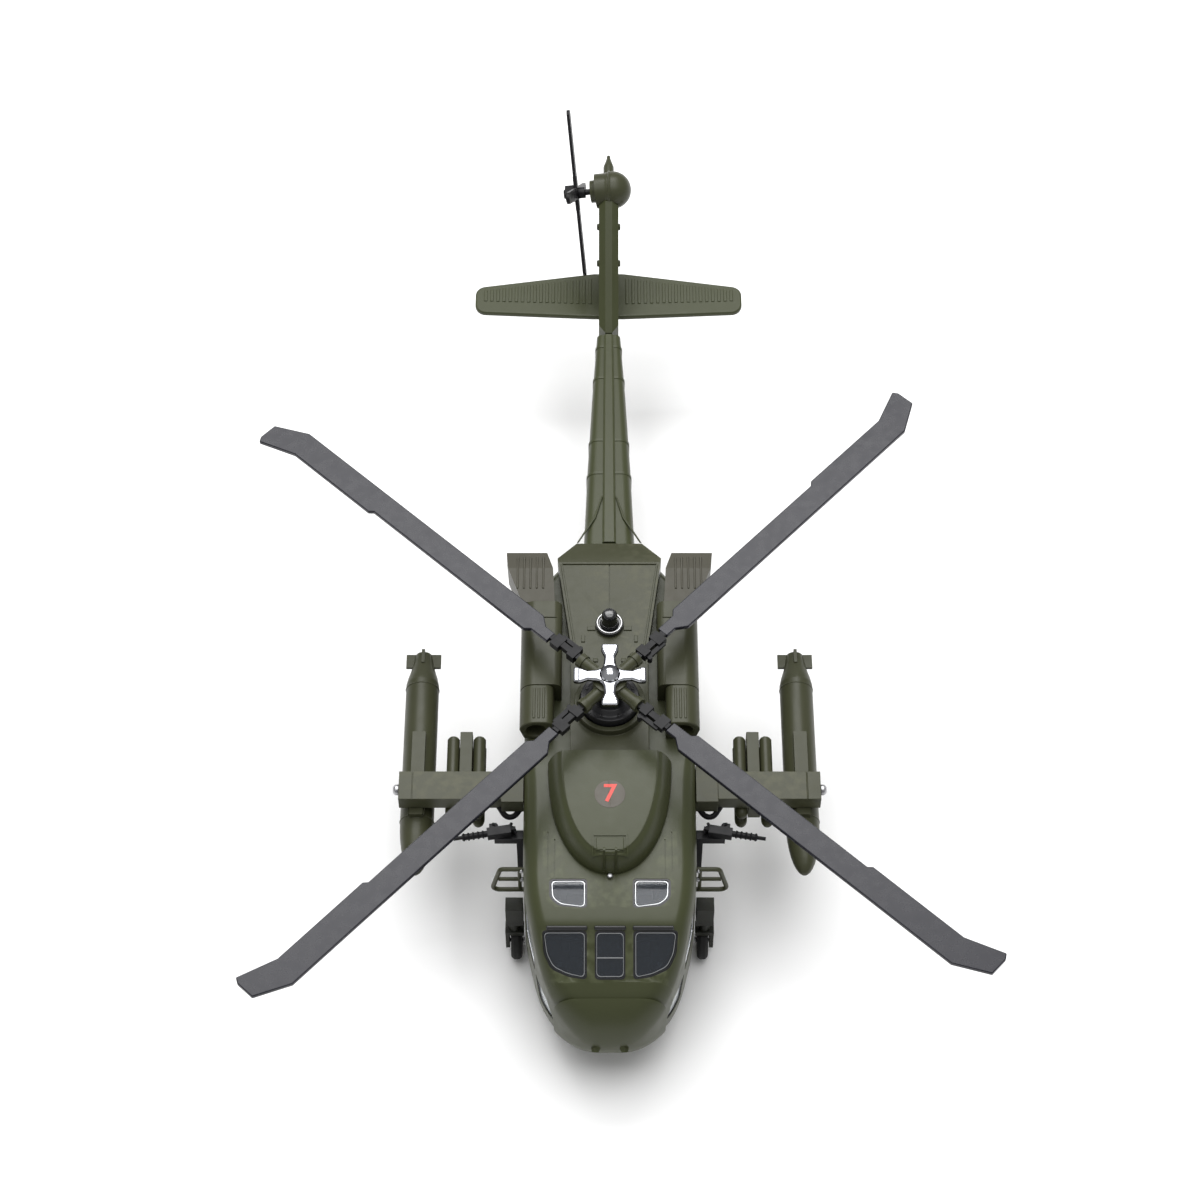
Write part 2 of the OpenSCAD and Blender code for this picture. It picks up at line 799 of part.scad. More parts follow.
module step_frame_left() step_frame(1);
module step_frame_right() step_frame(-1);

module gear_leg(side) {
    inner = wheel_x - wheel_w / 2 - end_play;
    outer = wheel_x + wheel_w / 2 + end_play;
    color("#3c412b")
    at_mast()
    on_side(side)
    translate([0, wheel_y, 0])
    difference() {
        union() {
            translate([cabin_hw + 0.1, -1.8, 15]) cube([4.2, 3.6, 7.6]);
            translate([wheel_x + 0.4, 0, 2 * wheel_r + 1]) cylinder(h = 9, r = 1.3);
            translate([cabin_hw + 0.1, -1.6, 2 * wheel_r + end_play]) cube([outer + 1 - cabin_hw - 0.1, 3.2, 1.6]);
            translate([outer, -1.4, wheel_r - 1.4]) cube([1, 2.8, wheel_r + 2.8]);
        }
        translate([inner - 2, 0, wheel_r]) rotate([0, 90, 0]) cylinder(h = 20, r = axle_r + push_fit);
    }
}

module gear_leg_left() gear_leg(1);
module gear_leg_right() gear_leg(-1);

module wheel(r, w, rim_r) {
    rotate([0, 90, 0])
    rotate_extrude($fn = 48)
    polygon([
        [axle_r + run_fit, -w / 2], [rim_r - 0.4, -w / 2 + 0.1], [rim_r, -w / 2 + 0.5],
        [rim_r + 0.4, -w / 2], [r - 0.6, -w / 2], [r, -w / 2 + 0.7], [r, w / 2 - 0.7],
        [r - 0.6, w / 2], [rim_r + 0.4, w / 2], [rim_r, w / 2 - 0.5], [rim_r - 0.4, w / 2 - 0.1],
        [axle_r + run_fit, w / 2]]);
}

module wheel_left() {
    color("#1b1b1b") at_mast() translate([wheel_x, wheel_y, wheel_r]) wheel(wheel_r, wheel_w, 2.5);
}

module wheel_right() {
    color("#1b1b1b") at_mast() translate([-wheel_x, wheel_y, wheel_r]) wheel(wheel_r, wheel_w, 2.5);
}

module tail_wheel() {
    color("#1b1b1b")
    at_mast()
    translate([0, tail_leg_y + 2, tail_wheel_r]) wheel(tail_wheel_r, 2.2, 1.5);
}

module tail_wheel_fork() {
    gap = 1.1 + end_play;
    color("#3c412b")
    at_mast()
    difference() {
        union() {
            translate([0, tail_leg_y, 2 * tail_wheel_r + 1.2])
            cylinder(h = belly_z + 16.2 - 2 * tail_wheel_r - 1.2, r = 1.3);
            translate([-gap - 0.9, tail_leg_y - 1.3, 2 * tail_wheel_r + 0.4]) cube([2 * gap + 1.8, 3.6, 1.4]);
            for (s = [-1, 1])
                translate([s * (gap + 0.45) - 0.45, tail_leg_y + 0.9, tail_wheel_r - 1.1])
                cube([0.9, 2.2, tail_wheel_r + 2.6]);
        }
        translate([-10, tail_leg_y + 2, tail_wheel_r]) rotate([0, 90, 0]) cylinder(h = 20, r = axle_r + push_fit);
    }
}

module wheel_axles() {
    reach = wheel_w + end_play + 1;
    color("#9a9a9e")
    at_mast() {
        for (side = [-1, 1])
            on_side(side)
            translate([wheel_x - wheel_w / 2 - 0.25, wheel_y, wheel_r])
            rotate([0, 90, 0]) {
                cylinder(h = reach, r = axle_r, $fn = 32);
                translate([0, 0, -0.35]) cylinder(h = 0.35, r = axle_r + 0.3, $fn = 32);
            }
        translate([-1.1 - end_play - 0.9, tail_leg_y + 2, tail_wheel_r])
        rotate([0, 90, 0]) cylinder(h = 4.6, r = axle_r, $fn = 32);
    }
}

module gun_mount(side) {
    color("#15161a")
    at_mast()
    on_side(side)
    translate([0, -gun_y, 0]) {
        translate([cabin_hw + 0.1, -1.2, gun_z - 2.2]) cube([gun_x - cabin_hw + 1.2, 2.4, 2.2]);
        translate([cabin_hw + 0.1, -1, gun_z - 15]) cube([1.6, 2, 15]);
        translate([gun_x, 0, gun_z - 0.1]) cylinder(h = 1.9, r = gun_pin_r, $fn = 32);
    }
}

module gun_mount_left() gun_mount(1);
module gun_mount_right() gun_mount(-1);

module gun(side) {
    color("#101114")
    at_mast()
    on_side(side)
    translate([gun_x, -gun_y, gun_z + 0.05])
    rotate([0, 0, -10])
    difference() {
        union() {
            translate([-2.6, -1.1, 0]) cube([5.6, 2.2, 2.2]);
            translate([-3.8, -0.4, 0.9]) cube([1.4, 0.8, 1.2]);
            translate([3, 0, 1.2]) rotate([0, 90, 0]) cylinder(h = barrel_len - 5, r = 0.75, $fn = 32);
            translate([barrel_len - 2.1, 0, 1.2]) rotate([0, 90, 0]) cylinder(h = 2.1, r = 0.45, $fn = 32);
            translate([0.4, 1, 0.3]) cube([1.8, 1.3, 1.5]);
        }
        translate([0, 0, -1]) cylinder(h = 2.8, r = gun_pin_r + run_fit, $fn = 32);
    }
}

module gun_left() gun(1);
module gun_right() gun(-1);

module rotor_mast() {
    color("#b0b0b4")
    at_mast() {
        translate([0, 0, mast_foot_z + 0.6]) cylinder(h = rotor_z - mast_foot_z + 1.3, r = mast_r);
        translate([0, 0, mast_foot_z]) cylinder(h = 0.7, r = bush_r - 0.1);
        translate([0, 0, mast_foot_z + 0.6]) cylinder(h = 1.4 - end_play, r1 = bush_r - 0.1, r2 = mast_r + 0.2);
    }
}

module rotor_hub() {
    color("#565b3c")
    at_mast()
    translate([0, 0, rotor_z])
    difference() {
        union() {
            translate([0, 0, -hub_half_h]) cylinder(h = 2 * hub_half_h - 0.02, r = 4);
            translate([0, 0, -hub_half_h - 1.2]) cylinder(h = 1.4, r = 2.9);
            for (i = [0 : 3])
                rotate([0, 0, 45 + rotor_turn + 90 * i]) {
                    rotate([0, 90, 0]) cylinder(h = hub_arm_r, r = 1.5, $fn = 32);
                    translate([hub_arm_r - 1.5, 0, 0]) rotate([0, 90, 0]) cylinder(h = 1.5, r = 1.8, $fn = 32);
                }
        }
        translate([0, 0, -20]) cylinder(h = 40, r = mast_r + push_fit);
    }
}

module blade_grips() {
    grip_len = blade_root_r - hub_arm_r;
    color("#15161a")
    at_mast()
    translate([0, 0, rotor_z])
    for (i = [0 : 3])
        rotate([0, 0, 45 + rotor_turn + 90 * i])
        translate([hub_arm_r + 0.02, 0, 0]) {
            translate([0, -0.8, -0.8]) cube([grip_len - 0.04, 1.6, 1.6]);
            translate([1, -1.5, -1.1]) cube([2.2, 3, 2.2]);
            translate([grip_len - 3.4, -1.7, -0.9]) cube([2.6, 3.4, 1.8]);
            translate([2, -2.2, -1.4]) cylinder(h = 1.8, r = 0.6, $fn = 24);
            translate([1.6, -2.4, -0.4]) cube([grip_len - 3.4, 1.1, 0.8]);
        }
}

module vibration_cross() {
    color("#e8e8ec")
    at_mast()
    translate([0, 0, cross_z]) {
        for (i = [0 : 3])
            rotate([0, 0, 90 * i]) {
                translate([0, -1.25, 0.02]) cube([cross_arm, 2.5, cross_t]);
                translate([cross_arm - 1.9, -2, 0.02]) cube([1.9, 4, cross_t + 0.2]);
            }
        translate([0, 0, 0.02]) cylinder(h = cross_t + 0.4, r = 2.8);
        translate([0, 0, cross_t - 0.2]) intersection() {
            sphere(r = 2.2, $fn = 40);
            cylinder(h = 3, r = 3);
        }
    }
}

// A blade along +x with its swept tip turned towards +y, or towards -y for flip = -1
module blade(index, flip) {
    c = blade_chord / 2;
    tip = rotor_r - 0.4;
    color("#1c1d28")
    at_mast()
    translate([0, 0, rotor_z - blade_t / 2])
    rotate([0, 0, 45 + rotor_turn + 90 * index])
    linear_extrude(blade_t)
    scale([1, flip])
    polygon([
        [blade_root_r, -1.1], [blade_root_r + 3, -1.1], [blade_root_r + 5.5, -c], [blade_sweep_r, -c],
        [tip, -c + 4.2], [tip, -c + 4.4 + blade_chord * 0.75], [tip - 0.8, c + 4.2],
        [blade_sweep_r - 2, c + 0.9], [blade_sweep_r - 28, c + 0.9], [blade_sweep_r - 29, c],
        [blade_root_r + 6.5, c], [blade_root_r + 5.2, c - 1.2], [blade_root_r, c - 1.2]]);
}

module blade_front_right() blade(3, 1);
module blade_rear_right() blade(0, 1);
module blade_rear_left() blade(1, 1);
module blade_front_left() blade(2, -1);

fuselage_shell();
belly_pan();
nose_cap();
cockpit_glazing();
cabin_glazing();
cabin_floor();
instrument_panel();
pilot_seats();
cabin_bulkhead();
body_screws();
pylon_fairing();
mast_fairing();
mast_bush();
swashplate();
engine_deck();
nacelle_left();
nacelle_right();
intake_left();
intake_right();
exhaust_left();
exhaust_right();
jammer_base();
jammer_dome();
tail_boom();
tail_fin();
stabilator();
tail_gearbox();
tail_beacon();
stub_wing_left();
stub_wing_right();
wing_tip_bolts();
tank_left();
tank_right();
missile_rack_left();
missile_rack_right();
missiles_left();
missiles_right();
step_frame_left();
step_frame_right();
gear_leg_left();
gear_leg_right();
wheel_left();
wheel_right();
tail_wheel_fork();
tail_wheel();
wheel_axles();
gun_mount_left();
gun_mount_right();
gun_left();
gun_right();
rotor_mast();
rotor_hub();
blade_grips();
vibration_cross();
blade_front_right();
blade_rear_right();
blade_rear_left();
blade_front_left();
tail_rotor_hub();
tail_rotor_blades();
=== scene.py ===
import math

import bmesh
import bpy
from mathutils import Matrix, Vector


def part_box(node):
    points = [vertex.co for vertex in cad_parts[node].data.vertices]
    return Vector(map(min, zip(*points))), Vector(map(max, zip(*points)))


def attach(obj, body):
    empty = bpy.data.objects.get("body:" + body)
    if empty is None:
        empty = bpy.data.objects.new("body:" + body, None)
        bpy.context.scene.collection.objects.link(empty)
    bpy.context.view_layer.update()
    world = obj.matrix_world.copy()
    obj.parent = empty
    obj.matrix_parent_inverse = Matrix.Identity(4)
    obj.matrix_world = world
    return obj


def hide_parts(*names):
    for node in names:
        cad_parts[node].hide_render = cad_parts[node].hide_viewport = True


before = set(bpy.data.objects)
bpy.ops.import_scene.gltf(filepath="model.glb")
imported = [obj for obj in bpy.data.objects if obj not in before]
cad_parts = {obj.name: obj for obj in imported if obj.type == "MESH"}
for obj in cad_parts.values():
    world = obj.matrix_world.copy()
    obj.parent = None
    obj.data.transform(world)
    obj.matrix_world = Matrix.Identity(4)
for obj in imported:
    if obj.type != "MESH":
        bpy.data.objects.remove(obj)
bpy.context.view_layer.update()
MM = 0.001

# ---------------------------------------------------------------- fuselage shell, belly pan and nose cap
# The body is three mouldings: a cast zinc upper shell, a plastic pan under its seam and a cap on the nose.
# One form is drawn out ring by ring along the fuselage, then parted where the real mouldings meet.
# Satin olive paint covers all three.

half_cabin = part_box("fuselage_shell")[1].x
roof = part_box("pylon_fairing")[0].z
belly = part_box("belly_pan")[0].z
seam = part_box("fuselage_shell")[0].z
nose_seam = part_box("fuselage_shell")[0].y
tail_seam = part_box("fuselage_shell")[1].y
mast_low, mast_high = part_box("rotor_mast")
mast_y = (mast_low.y + mast_high.y) / 2


def choose(*pieces):
    """Leaves object mode with only these pieces picked."""
    if bpy.context.mode != "OBJECT":
        bpy.ops.object.mode_set(mode="OBJECT")
    bpy.ops.object.select_all(action="DESELECT")
    for piece in pieces:
        piece.select_set(True)
    bpy.context.view_layer.objects.active = pieces[0] if pieces else None


def modify(piece, kind, **settings):
    """Adds one modifier to a piece and applies it."""
    choose(piece)
    step = piece.modifiers.new(kind.lower(), kind)
    for key, value in settings.items():
        setattr(step, key, value)
    bpy.ops.object.modifier_apply(modifier=step.name)


def outward(piece):
    """Turns every face of a closed piece outwards."""
    choose(piece)
    bpy.ops.object.mode_set(mode="EDIT")
    bpy.ops.mesh.select_all(action="SELECT")
    bpy.ops.mesh.normals_make_consistent(inside=False)
    bpy.ops.object.mode_set(mode="OBJECT")


def loft(name, rings):
    """A closed form, extruded from one outline to the next."""
    choose()
    bpy.ops.mesh.primitive_circle_add(vertices=len(rings[0]), fill_type="NGON")
    piece = bpy.context.object
    piece.name = name
    for vertex, place in zip(piece.data.vertices, rings[0]):
        vertex.co = place
    bpy.ops.object.mode_set(mode="EDIT")
    bpy.ops.mesh.select_all(action="SELECT")
    for before, after in zip(rings, rings[1:]):
        bpy.ops.mesh.extrude_region_move()
        mesh = bmesh.from_edit_mesh(piece.data)
        for vertex in [v for v in mesh.verts if v.select]:
            nearest = min(range(len(before)), key=lambda k: (vertex.co - before[k]).length_squared)
            vertex.co = after[nearest]
        bmesh.update_edit_mesh(piece.data)
    outward(piece)
    return piece


def cut(piece, *cutters, keep=False, operation="DIFFERENCE"):
    """Takes the cutters out of a piece, or keeps only what lies inside them."""
    for cutter in cutters:
        modify(piece, "BOOLEAN", object=cutter, operation=operation, solver="EXACT", use_self=True)
        if not keep:
            bpy.data.objects.remove(cutter)


def twin(piece, name):
    """A second piece with its own mesh."""
    copy = piece.copy()
    copy.data = piece.data.copy()
    copy.name = name
    bpy.context.scene.collection.objects.link(copy)
    return copy


def slice_off(piece, place, normal):
    """Cuts a piece at a plane, drops what the normal points away from, and closes the cut."""
    choose(piece)
    bpy.ops.object.mode_set(mode="EDIT")
    bpy.ops.mesh.select_all(action="SELECT")
    bpy.ops.mesh.bisect(plane_co=place, plane_no=normal, use_fill=True, clear_inner=True)
    bpy.ops.object.mode_set(mode="OBJECT")


def block(name, low, high):
    """A box between two corners, ready to be shaped."""
    low, high = Vector(low), Vector(high)
    choose()
    bpy.ops.mesh.primitive_cube_add(size=1, location=(low + high) / 2)
    piece = bpy.context.object
    piece.name = name
    piece.scale = high - low
    bpy.ops.object.transform_apply(location=True, rotation=True, scale=True)
    return piece


def join(name, pieces):
    """Several solids that are moulded as one."""
    choose(*pieces)
    if len(pieces) > 1:
        bpy.ops.object.join()
    pieces[0].name = name
    return pieces[0]


def soften(piece, width, segments=2, angle=35):
    """Rounds the sharp edges of a moulding and smooths its faces."""
    modify(piece, "BEVEL", width=width, segments=segments, limit_method="ANGLE",
           angle_limit=math.radians(angle), use_clamp_overlap=True)
    smooth(piece, 50)
    modify(piece, "WEIGHTED_NORMAL", keep_sharp=True, weight=60)


def smooth(piece, angle=32):
    choose(piece)
    bpy.ops.object.shade_smooth_by_angle(angle=math.radians(angle))


def station(y, half, low, high, low_round, high_round):
    """One cross-section of the body: a box with rounded corners, 28 points round."""
    ring = []
    for cx, cz, r, start in (
        (half - low_round, low + low_round, low_round, -90),
        (half - high_round, high - high_round, high_round, 0),
        (high_round - half, high - high_round, high_round, 90),
        (low_round - half, low + low_round, low_round, 180),
    ):
        for step in range(7):
            turn = math.radians(start + 15 * step)
            ring.append(Vector((cx + r * math.cos(turn), y, cz + r * math.sin(turn))))
    return ring


def body_rings(stations):
    return [
        station(mast_y + y * MM, half_cabin - narrow * MM, belly + rise * MM, roof - drop * MM, a * MM,
                b * MM)
        for y, narrow, rise, drop, a, b in stations
    ]


# station aft of the mast, narrowing each side, rise of the belly, drop of the roof, corner radii
shield_y = -65.4
body = loft("body", body_rings([
    (-74.4, 17.4, 8.4, 22.6, 1.2, 1.2), (-73.9, 15.4, 6.2, 20.4, 3, 3), (-72.6, 12.4, 3.6, 16.5, 4.5, 4.5),
    (-69.8, 9.2, 1.5, 12.8, 5, 6), (shield_y, 5.7, 0.5, 10, 5, 5), (-59.9, 3.6, 0, 5.6, 4, 4.6),
    (-54.9, 2.3, 0, 1.8, 4, 4.5), (-52.8, 1.9, 0, 1.0, 4, 4.5), (-50, 1.2, 0, 0.5, 4, 4.5),
    (-45, 0.4, 0, 0, 4, 4.5), (-38, 0, 0, 0, 4, 4.5), (-14, 0, 0, 0, 4, 4.5), (-8, 0, 0, 0, 4, 2.2),
    (12, 0, 0, 0, 4, 2.2), (31, 0, 0, 0, 4, 2.2), (37, 1.4, 0.6, 0, 4, 2.5), (46, 8, 5.5, 0, 4, 4),
    (52.7, 13.2, 11.4, 1, 3, 3),
]))
modify(body, "SUBSURF", levels=2, render_levels=2)


def prism(name, outline, along, depth, grow=0.0, corner=0.0):
    """A cutter with this outline, swept along a direction; grow moves its sides outwards."""
    middle = sum(outline, Vector()) / len(outline)
    choose()
    bpy.ops.mesh.primitive_circle_add(vertices=len(outline), fill_type="NGON")
    piece = bpy.context.object
    piece.name = name
    for vertex, place in zip(piece.data.vertices, outline):
        out = place - middle
        vertex.co = place + out.normalized() * grow
    bpy.ops.object.mode_set(mode="EDIT")
    bpy.ops.mesh.select_all(action="SELECT")
    if corner:
        bpy.ops.mesh.bevel(affect="VERTICES", offset=corner, segments=3)
        bpy.ops.mesh.select_all(action="SELECT")
    bpy.ops.mesh.extrude_region_move(TRANSFORM_OT_translate={"value": tuple(along * depth)})
    outward(piece)
    return piece


shield_slope = math.atan2(8.3, 10.6)
up_shield = Vector((0, math.cos(shield_slope), math.sin(shield_slope)))
out_shield = Vector((0, -math.sin(shield_slope), math.cos(shield_slope)))
shield_foot = Vector((0, mast_y + shield_y * MM, roof - 10 * MM))


def window_outlines():
    """Every window opening: its outline a little outside the skin, and the way through the skin."""
    found = {"windshield": [], "roof": [], "chin": [], "side": []}
    on_shield = lambda x, up: shield_foot + Vector((x * MM, 0, 0)) + up_shield * up * MM + out_shield * 3 * MM
    found["windshield"].append(([on_shield(x, up) for x,
                                 up in ((-3.5, 1.0), (3.5, 1.0), (3.5, 12.4), (-3.5, 12.4))],
                                -out_shield, 6 * MM))
    for side in (-1, 1):
        pane = ((5.3, 1.0), (9.5, 1.6), (13.6, 3.4), (15.3, 7), (15.6, 12.4), (5.3, 12.4))
        found["windshield"].append(([on_shield(side * x, up) for x, up in pane], -out_shield, 6 * MM))
        pane = ((5.2, -50.8), (11.8, -50.3), (14.0, -48.2), (14.0, -43.4), (5.2, -43.4))
        found["roof"].append(([Vector((side * x * MM, mast_y + y * MM, roof + 2 * MM)) for x, y in pane],
                              Vector((0, 0, -1)), 5 * MM))
        pane = ((-67.4, 16.5), (-60.5, 15.2), (-57.6, 21.8), (-64.6, 22.6))
        found["chin"].append(([Vector((side * (half_cabin + 1 * MM), mast_y + y * MM, z * MM)) for y,
                               z in pane],
                              Vector((-side, 0, 0)), 14 * MM))
        for pane in (
            ((-57.4, 22), (-46, 22), (-46, 34.4), (-50.6, 34.2), (-56.6, 29.6)),
            ((-44, 24), (-35, 24), (-35, 34), (-44, 34)), ((-32, 24), (-24, 24), (-24, 34), (-32, 34)),
            ((-7, 24), (4, 24), (4, 34), (-7, 34)), ((8, 24), (19, 24), (19, 34), (8, 34)),
        ):
            found["side"].append(([Vector((side * (half_cabin + 2 * MM), mast_y + y * MM, z * MM)) for y,
                                   z in pane],
                                  Vector((-side, 0, 0)), 7 * MM))
    return found


windows = window_outlines()


def window_cutters(grow, kinds=("windshield", "roof", "chin", "side")):
    return [prism("window", outline, along, depth, grow, corner=0.9 * MM)
            for kind in kinds for outline, along, depth in windows[kind]]


def skin(name, outer, inner):
    """A layer of the body between two depths under its surface."""
    layer = twin(body, name)
    choose(layer)
    bpy.ops.object.mode_set(mode="EDIT")
    bpy.ops.mesh.select_all(action="SELECT")
    bpy.ops.transform.shrink_fatten(value=-outer)
    bpy.ops.object.mode_set(mode="OBJECT")
    modify(layer, "SOLIDIFY", thickness=inner - outer, offset=-1)
    return layer


shell = skin("fuselage_casting", 0, 1.1 * MM)
cut(shell, join("openings", window_cutters(0)))
pan = twin(shell, "belly_moulding")
cap = twin(shell, "nose_moulding")
slice_off(shell, (0, 0, seam), (0, 0, 1))
slice_off(shell, (0, nose_seam, 0), (0, 1, 0))
slice_off(pan, (0, 0, seam), (0, 0, -1))
slice_off(pan, (0, nose_seam, 0), (0, 1, 0))
slice_off(cap, (0, nose_seam, 0), (0, -1, 0))


def frame_bars(low, high, line, flat):
    """Four thin bars round a rectangle, as a cutter for a panel seam; flat is the axis across the panel."""
    axes = [k for k in range(3) if k != flat]
    bars = []
    for across, along in (axes, axes[::-1]):
        for edge in (low[across], high[across]):
            a, b = list(low), list(high)
            a[across], b[across] = edge - line / 2, edge + line / 2
            a[along] -= line / 2
            b[along] += line / 2
            bars.append(block("bar", a, b))
    return bars


def panel_seams():
    """Engraved door and hatch outlines of the shell."""
    bars = []
    line, deep = 0.28 * MM, 0.3 * MM
    for side in (-1, 1):
        x = sorted((side * (half_cabin - deep), side * (half_cabin + 1 * MM)))
        for y0, y1, z0, z1 in ((-58.6, -44.8, 16, 37), (-46, -22.5, 21.5, 36), (-9, 21, 16, 37)):
            bars += frame_bars((x[0], mast_y + y0 * MM, z0 * MM), (x[1], mast_y + y1 * MM, z1 * MM), line, 0)
        for z in (36.2, 17.5):
            bars.append(block("bar", (x[0], mast_y + 8 * MM, z * MM - line / 2),
                              (x[1], mast_y + 36 * MM, z * MM + line / 2)))
        x = side * 12.8 * MM
        bars.append(block("bar", (x - line / 2, mast_y - 43 * MM, roof - deep),
                          (x + line / 2, mast_y - 33 * MM, roof + MM)))
        x += side * 1.6 * MM
        bars.append(block("bar", (x - line / 2, mast_y - 41.5 * MM, roof - deep),
                          (x + line / 2, mast_y - 31 * MM, roof + MM)))
    return bars


seams = join("seams", panel_seams())
cut(shell, seams)
for piece in (shell, pan, cap):
    soften(piece, 0.12 * MM, segments=2, angle=40)


def scuffed_and_highlit_finish():
    """Node group shared by the mouldings: blotchy tone, fine grain and paler convex edges, partly rubbed
    paint and partly a painted highlight.
    """
    group = bpy.data.node_groups.new("scuffed_and_highlit_finish", "ShaderNodeTree")
    face = group.interface
    for name, kind, value in (("Colour", "NodeSocketColor", (0.1, 0.1, 0.1, 1)),
                              ("Edge Scuff Highlight Colour", "NodeSocketColor", (0.3, 0.3, 0.3, 1)),
                              ("Blotch", "NodeSocketFloat", 0.2), ("Edge Scuff Highlight Amount", "NodeSocketFloat", 0.3),
                              ("Gloss", "NodeSocketFloat", 0.4), ("Grain", "NodeSocketFloat", 3000.0)):
        socket = face.new_socket(name, in_out="INPUT", socket_type=kind)
        socket.default_value = value
    for name, kind in (("Colour", "NodeSocketColor"), ("Roughness", "NodeSocketFloat"),
                       ("Height", "NodeSocketFloat")):
        face.new_socket(name, in_out="OUTPUT", socket_type=kind)
    nodes, link = group.nodes, group.links.new
    given, out = nodes.new("NodeGroupInput"), nodes.new("NodeGroupOutput")
    place = nodes.new("ShaderNodeTexCoord")
    broad, fine, patch = (nodes.new("ShaderNodeTexNoise") for _ in range(3))
    broad.inputs["Scale"].default_value = 55
    broad.inputs["Detail"].default_value = 5
    patch.inputs["Scale"].default_value = 420
    patch.inputs["Detail"].default_value = 3
    fine.inputs["Detail"].default_value = 2
    link(given.outputs["Grain"], fine.inputs["Scale"])
    for noise in (broad, fine, patch):
        link(place.outputs["Object"], noise.inputs["Vector"])
    swing = nodes.new("ShaderNodeMapRange")
    swing.inputs["From Min"].default_value, swing.inputs["From Max"].default_value = 0.3, 0.7
    swing.inputs["To Min"].default_value, swing.inputs["To Max"].default_value = -1, 1
    link(broad.outputs["Fac"], swing.inputs["Value"])
    amount = nodes.new("ShaderNodeMath")
    amount.operation = "MULTIPLY_ADD"
    link(swing.outputs["Result"], amount.inputs[0])
    link(given.outputs["Blotch"], amount.inputs[1])
    amount.inputs[2].default_value = 1
    tone = nodes.new("ShaderNodeVectorMath")
    tone.operation = "SCALE"
    link(given.outputs["Colour"], tone.inputs[0])
    link(amount.outputs[0], tone.inputs["Scale"])
    # Convex edges turn paler in random patches: partly rubbed paint, partly a painted highlight along the
    # edges.
    geometry = nodes.new("ShaderNodeNewGeometry")
    edge = nodes.new("ShaderNodeMapRange")
    edge.inputs["From Min"].default_value, edge.inputs["From Max"].default_value = 0.56, 0.70
    link(geometry.outputs["Pointiness"], edge.inputs["Value"])
    scuffed_highlit_patch = nodes.new("ShaderNodeMapRange")
    scuffed_highlit_patch.inputs["From Min"].default_value, scuffed_highlit_patch.inputs["From Max"].default_value = 0.42, 0.66
    link(patch.outputs["Fac"], scuffed_highlit_patch.inputs["Value"])
    both, scuffed_highlit_mix = nodes.new("ShaderNodeMath"), nodes.new("ShaderNodeMath")
    both.operation = scuffed_highlit_mix.operation = "MULTIPLY"
    link(edge.outputs["Result"], both.inputs[0])
    link(scuffed_highlit_patch.outputs["Result"], both.inputs[1])
    link(both.outputs[0], scuffed_highlit_mix.inputs[0])
    link(given.outputs["Edge Scuff Highlight Amount"], scuffed_highlit_mix.inputs[1])
    mix = nodes.new("ShaderNodeMix")
    mix.data_type = "RGBA"
    link(scuffed_highlit_mix.outputs[0], mix.inputs["Factor"])
    link(tone.outputs[0], mix.inputs["A"])
    link(given.outputs["Edge Scuff Highlight Colour"], mix.inputs["B"])
    shine = nodes.new("ShaderNodeMath")
    shine.operation = "MULTIPLY_ADD"
    link(patch.outputs["Fac"], shine.inputs[0])
    shine.inputs[1].default_value = 0.16
    link(given.outputs["Gloss"], shine.inputs[2])
    link(mix.outputs["Result"], out.inputs["Colour"])
    link(shine.outputs[0], out.inputs["Roughness"])
    link(fine.outputs["Fac"], out.inputs["Height"])
    return group


finish_group = scuffed_and_highlit_finish()


def coat(name, colour, scuff_highlight_colour, blotch=0.045, scuff_highlight_amount=0.4, gloss=0.34, grain=3200, metal=0.0, relief=0.012,
         clear=0.0, shine=0.5):
    """A moulded or painted surface: one Principled shader fed by the shared finish group."""
    material = bpy.data.materials.new(name)
    material.use_nodes = True
    nodes, link = material.node_tree.nodes, material.node_tree.links.new
    shader = nodes["Principled BSDF"]
    group = nodes.new("ShaderNodeGroup")
    group.node_tree = finish_group
    # The paler edge colour is partly rubbed paint and partly a painted highlight.
    group.inputs["Colour"].default_value = (*colour, 1)
    group.inputs["Edge Scuff Highlight Colour"].default_value = (*scuff_highlight_colour, 1)
    for key, value in (("Blotch", blotch), ("Edge Scuff Highlight Amount", scuff_highlight_amount), ("Gloss", gloss), ("Grain", grain)):
        group.inputs[key].default_value = value
    bump = nodes.new("ShaderNodeBump")
    bump.inputs["Strength"].default_value = 0.5
    bump.inputs["Distance"].default_value = relief * MM
    link(group.outputs["Colour"], shader.inputs["Base Color"])
    link(group.outputs["Roughness"], shader.inputs["Roughness"])
    link(group.outputs["Height"], bump.inputs["Height"])
    link(bump.outputs["Normal"], shader.inputs["Normal"])
    shader.inputs["Metallic"].default_value = metal
    shader.inputs["Specular IOR Level"].default_value = shine
    shader.inputs["Coat Weight"].default_value = clear
    shader.inputs["Coat Roughness"].default_value = 0.15
    return material


olive_paint = coat("olive_paint", (0.041, 0.046, 0.020), (0.10, 0.11, 0.06), gloss=0.27, shine=0.27)


def fit(piece, body, finish, slot, *stands_for):
    """A finished piece: its place in its mesh, its finish on, riding on its body."""
    choose(piece)
    bpy.ops.object.transform_apply(location=True, rotation=True, scale=True)
    piece.data.materials.clear()
    piece.data.materials.append(finish)
    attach(piece, body)
    if stands_for:
        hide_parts(*stands_for)
    return piece


fit(shell, "airframe", olive_paint, "olive_paint", "fuselage_shell")
fit(pan, "airframe", olive_paint, "olive_plastic", "belly_pan")
fit(cap, "airframe", olive_paint, "olive_paint", "nose_cap")
radome = skin("nose_radome", -0.65 * MM, 0.4 * MM)
slice_off(radome, (0, mast_y - 68.4 * MM, 0), (0, -1, 0))
soften(radome, 0.18 * MM, segments=2, angle=50)
fit(radome, "airframe", olive_paint, "olive_paint")
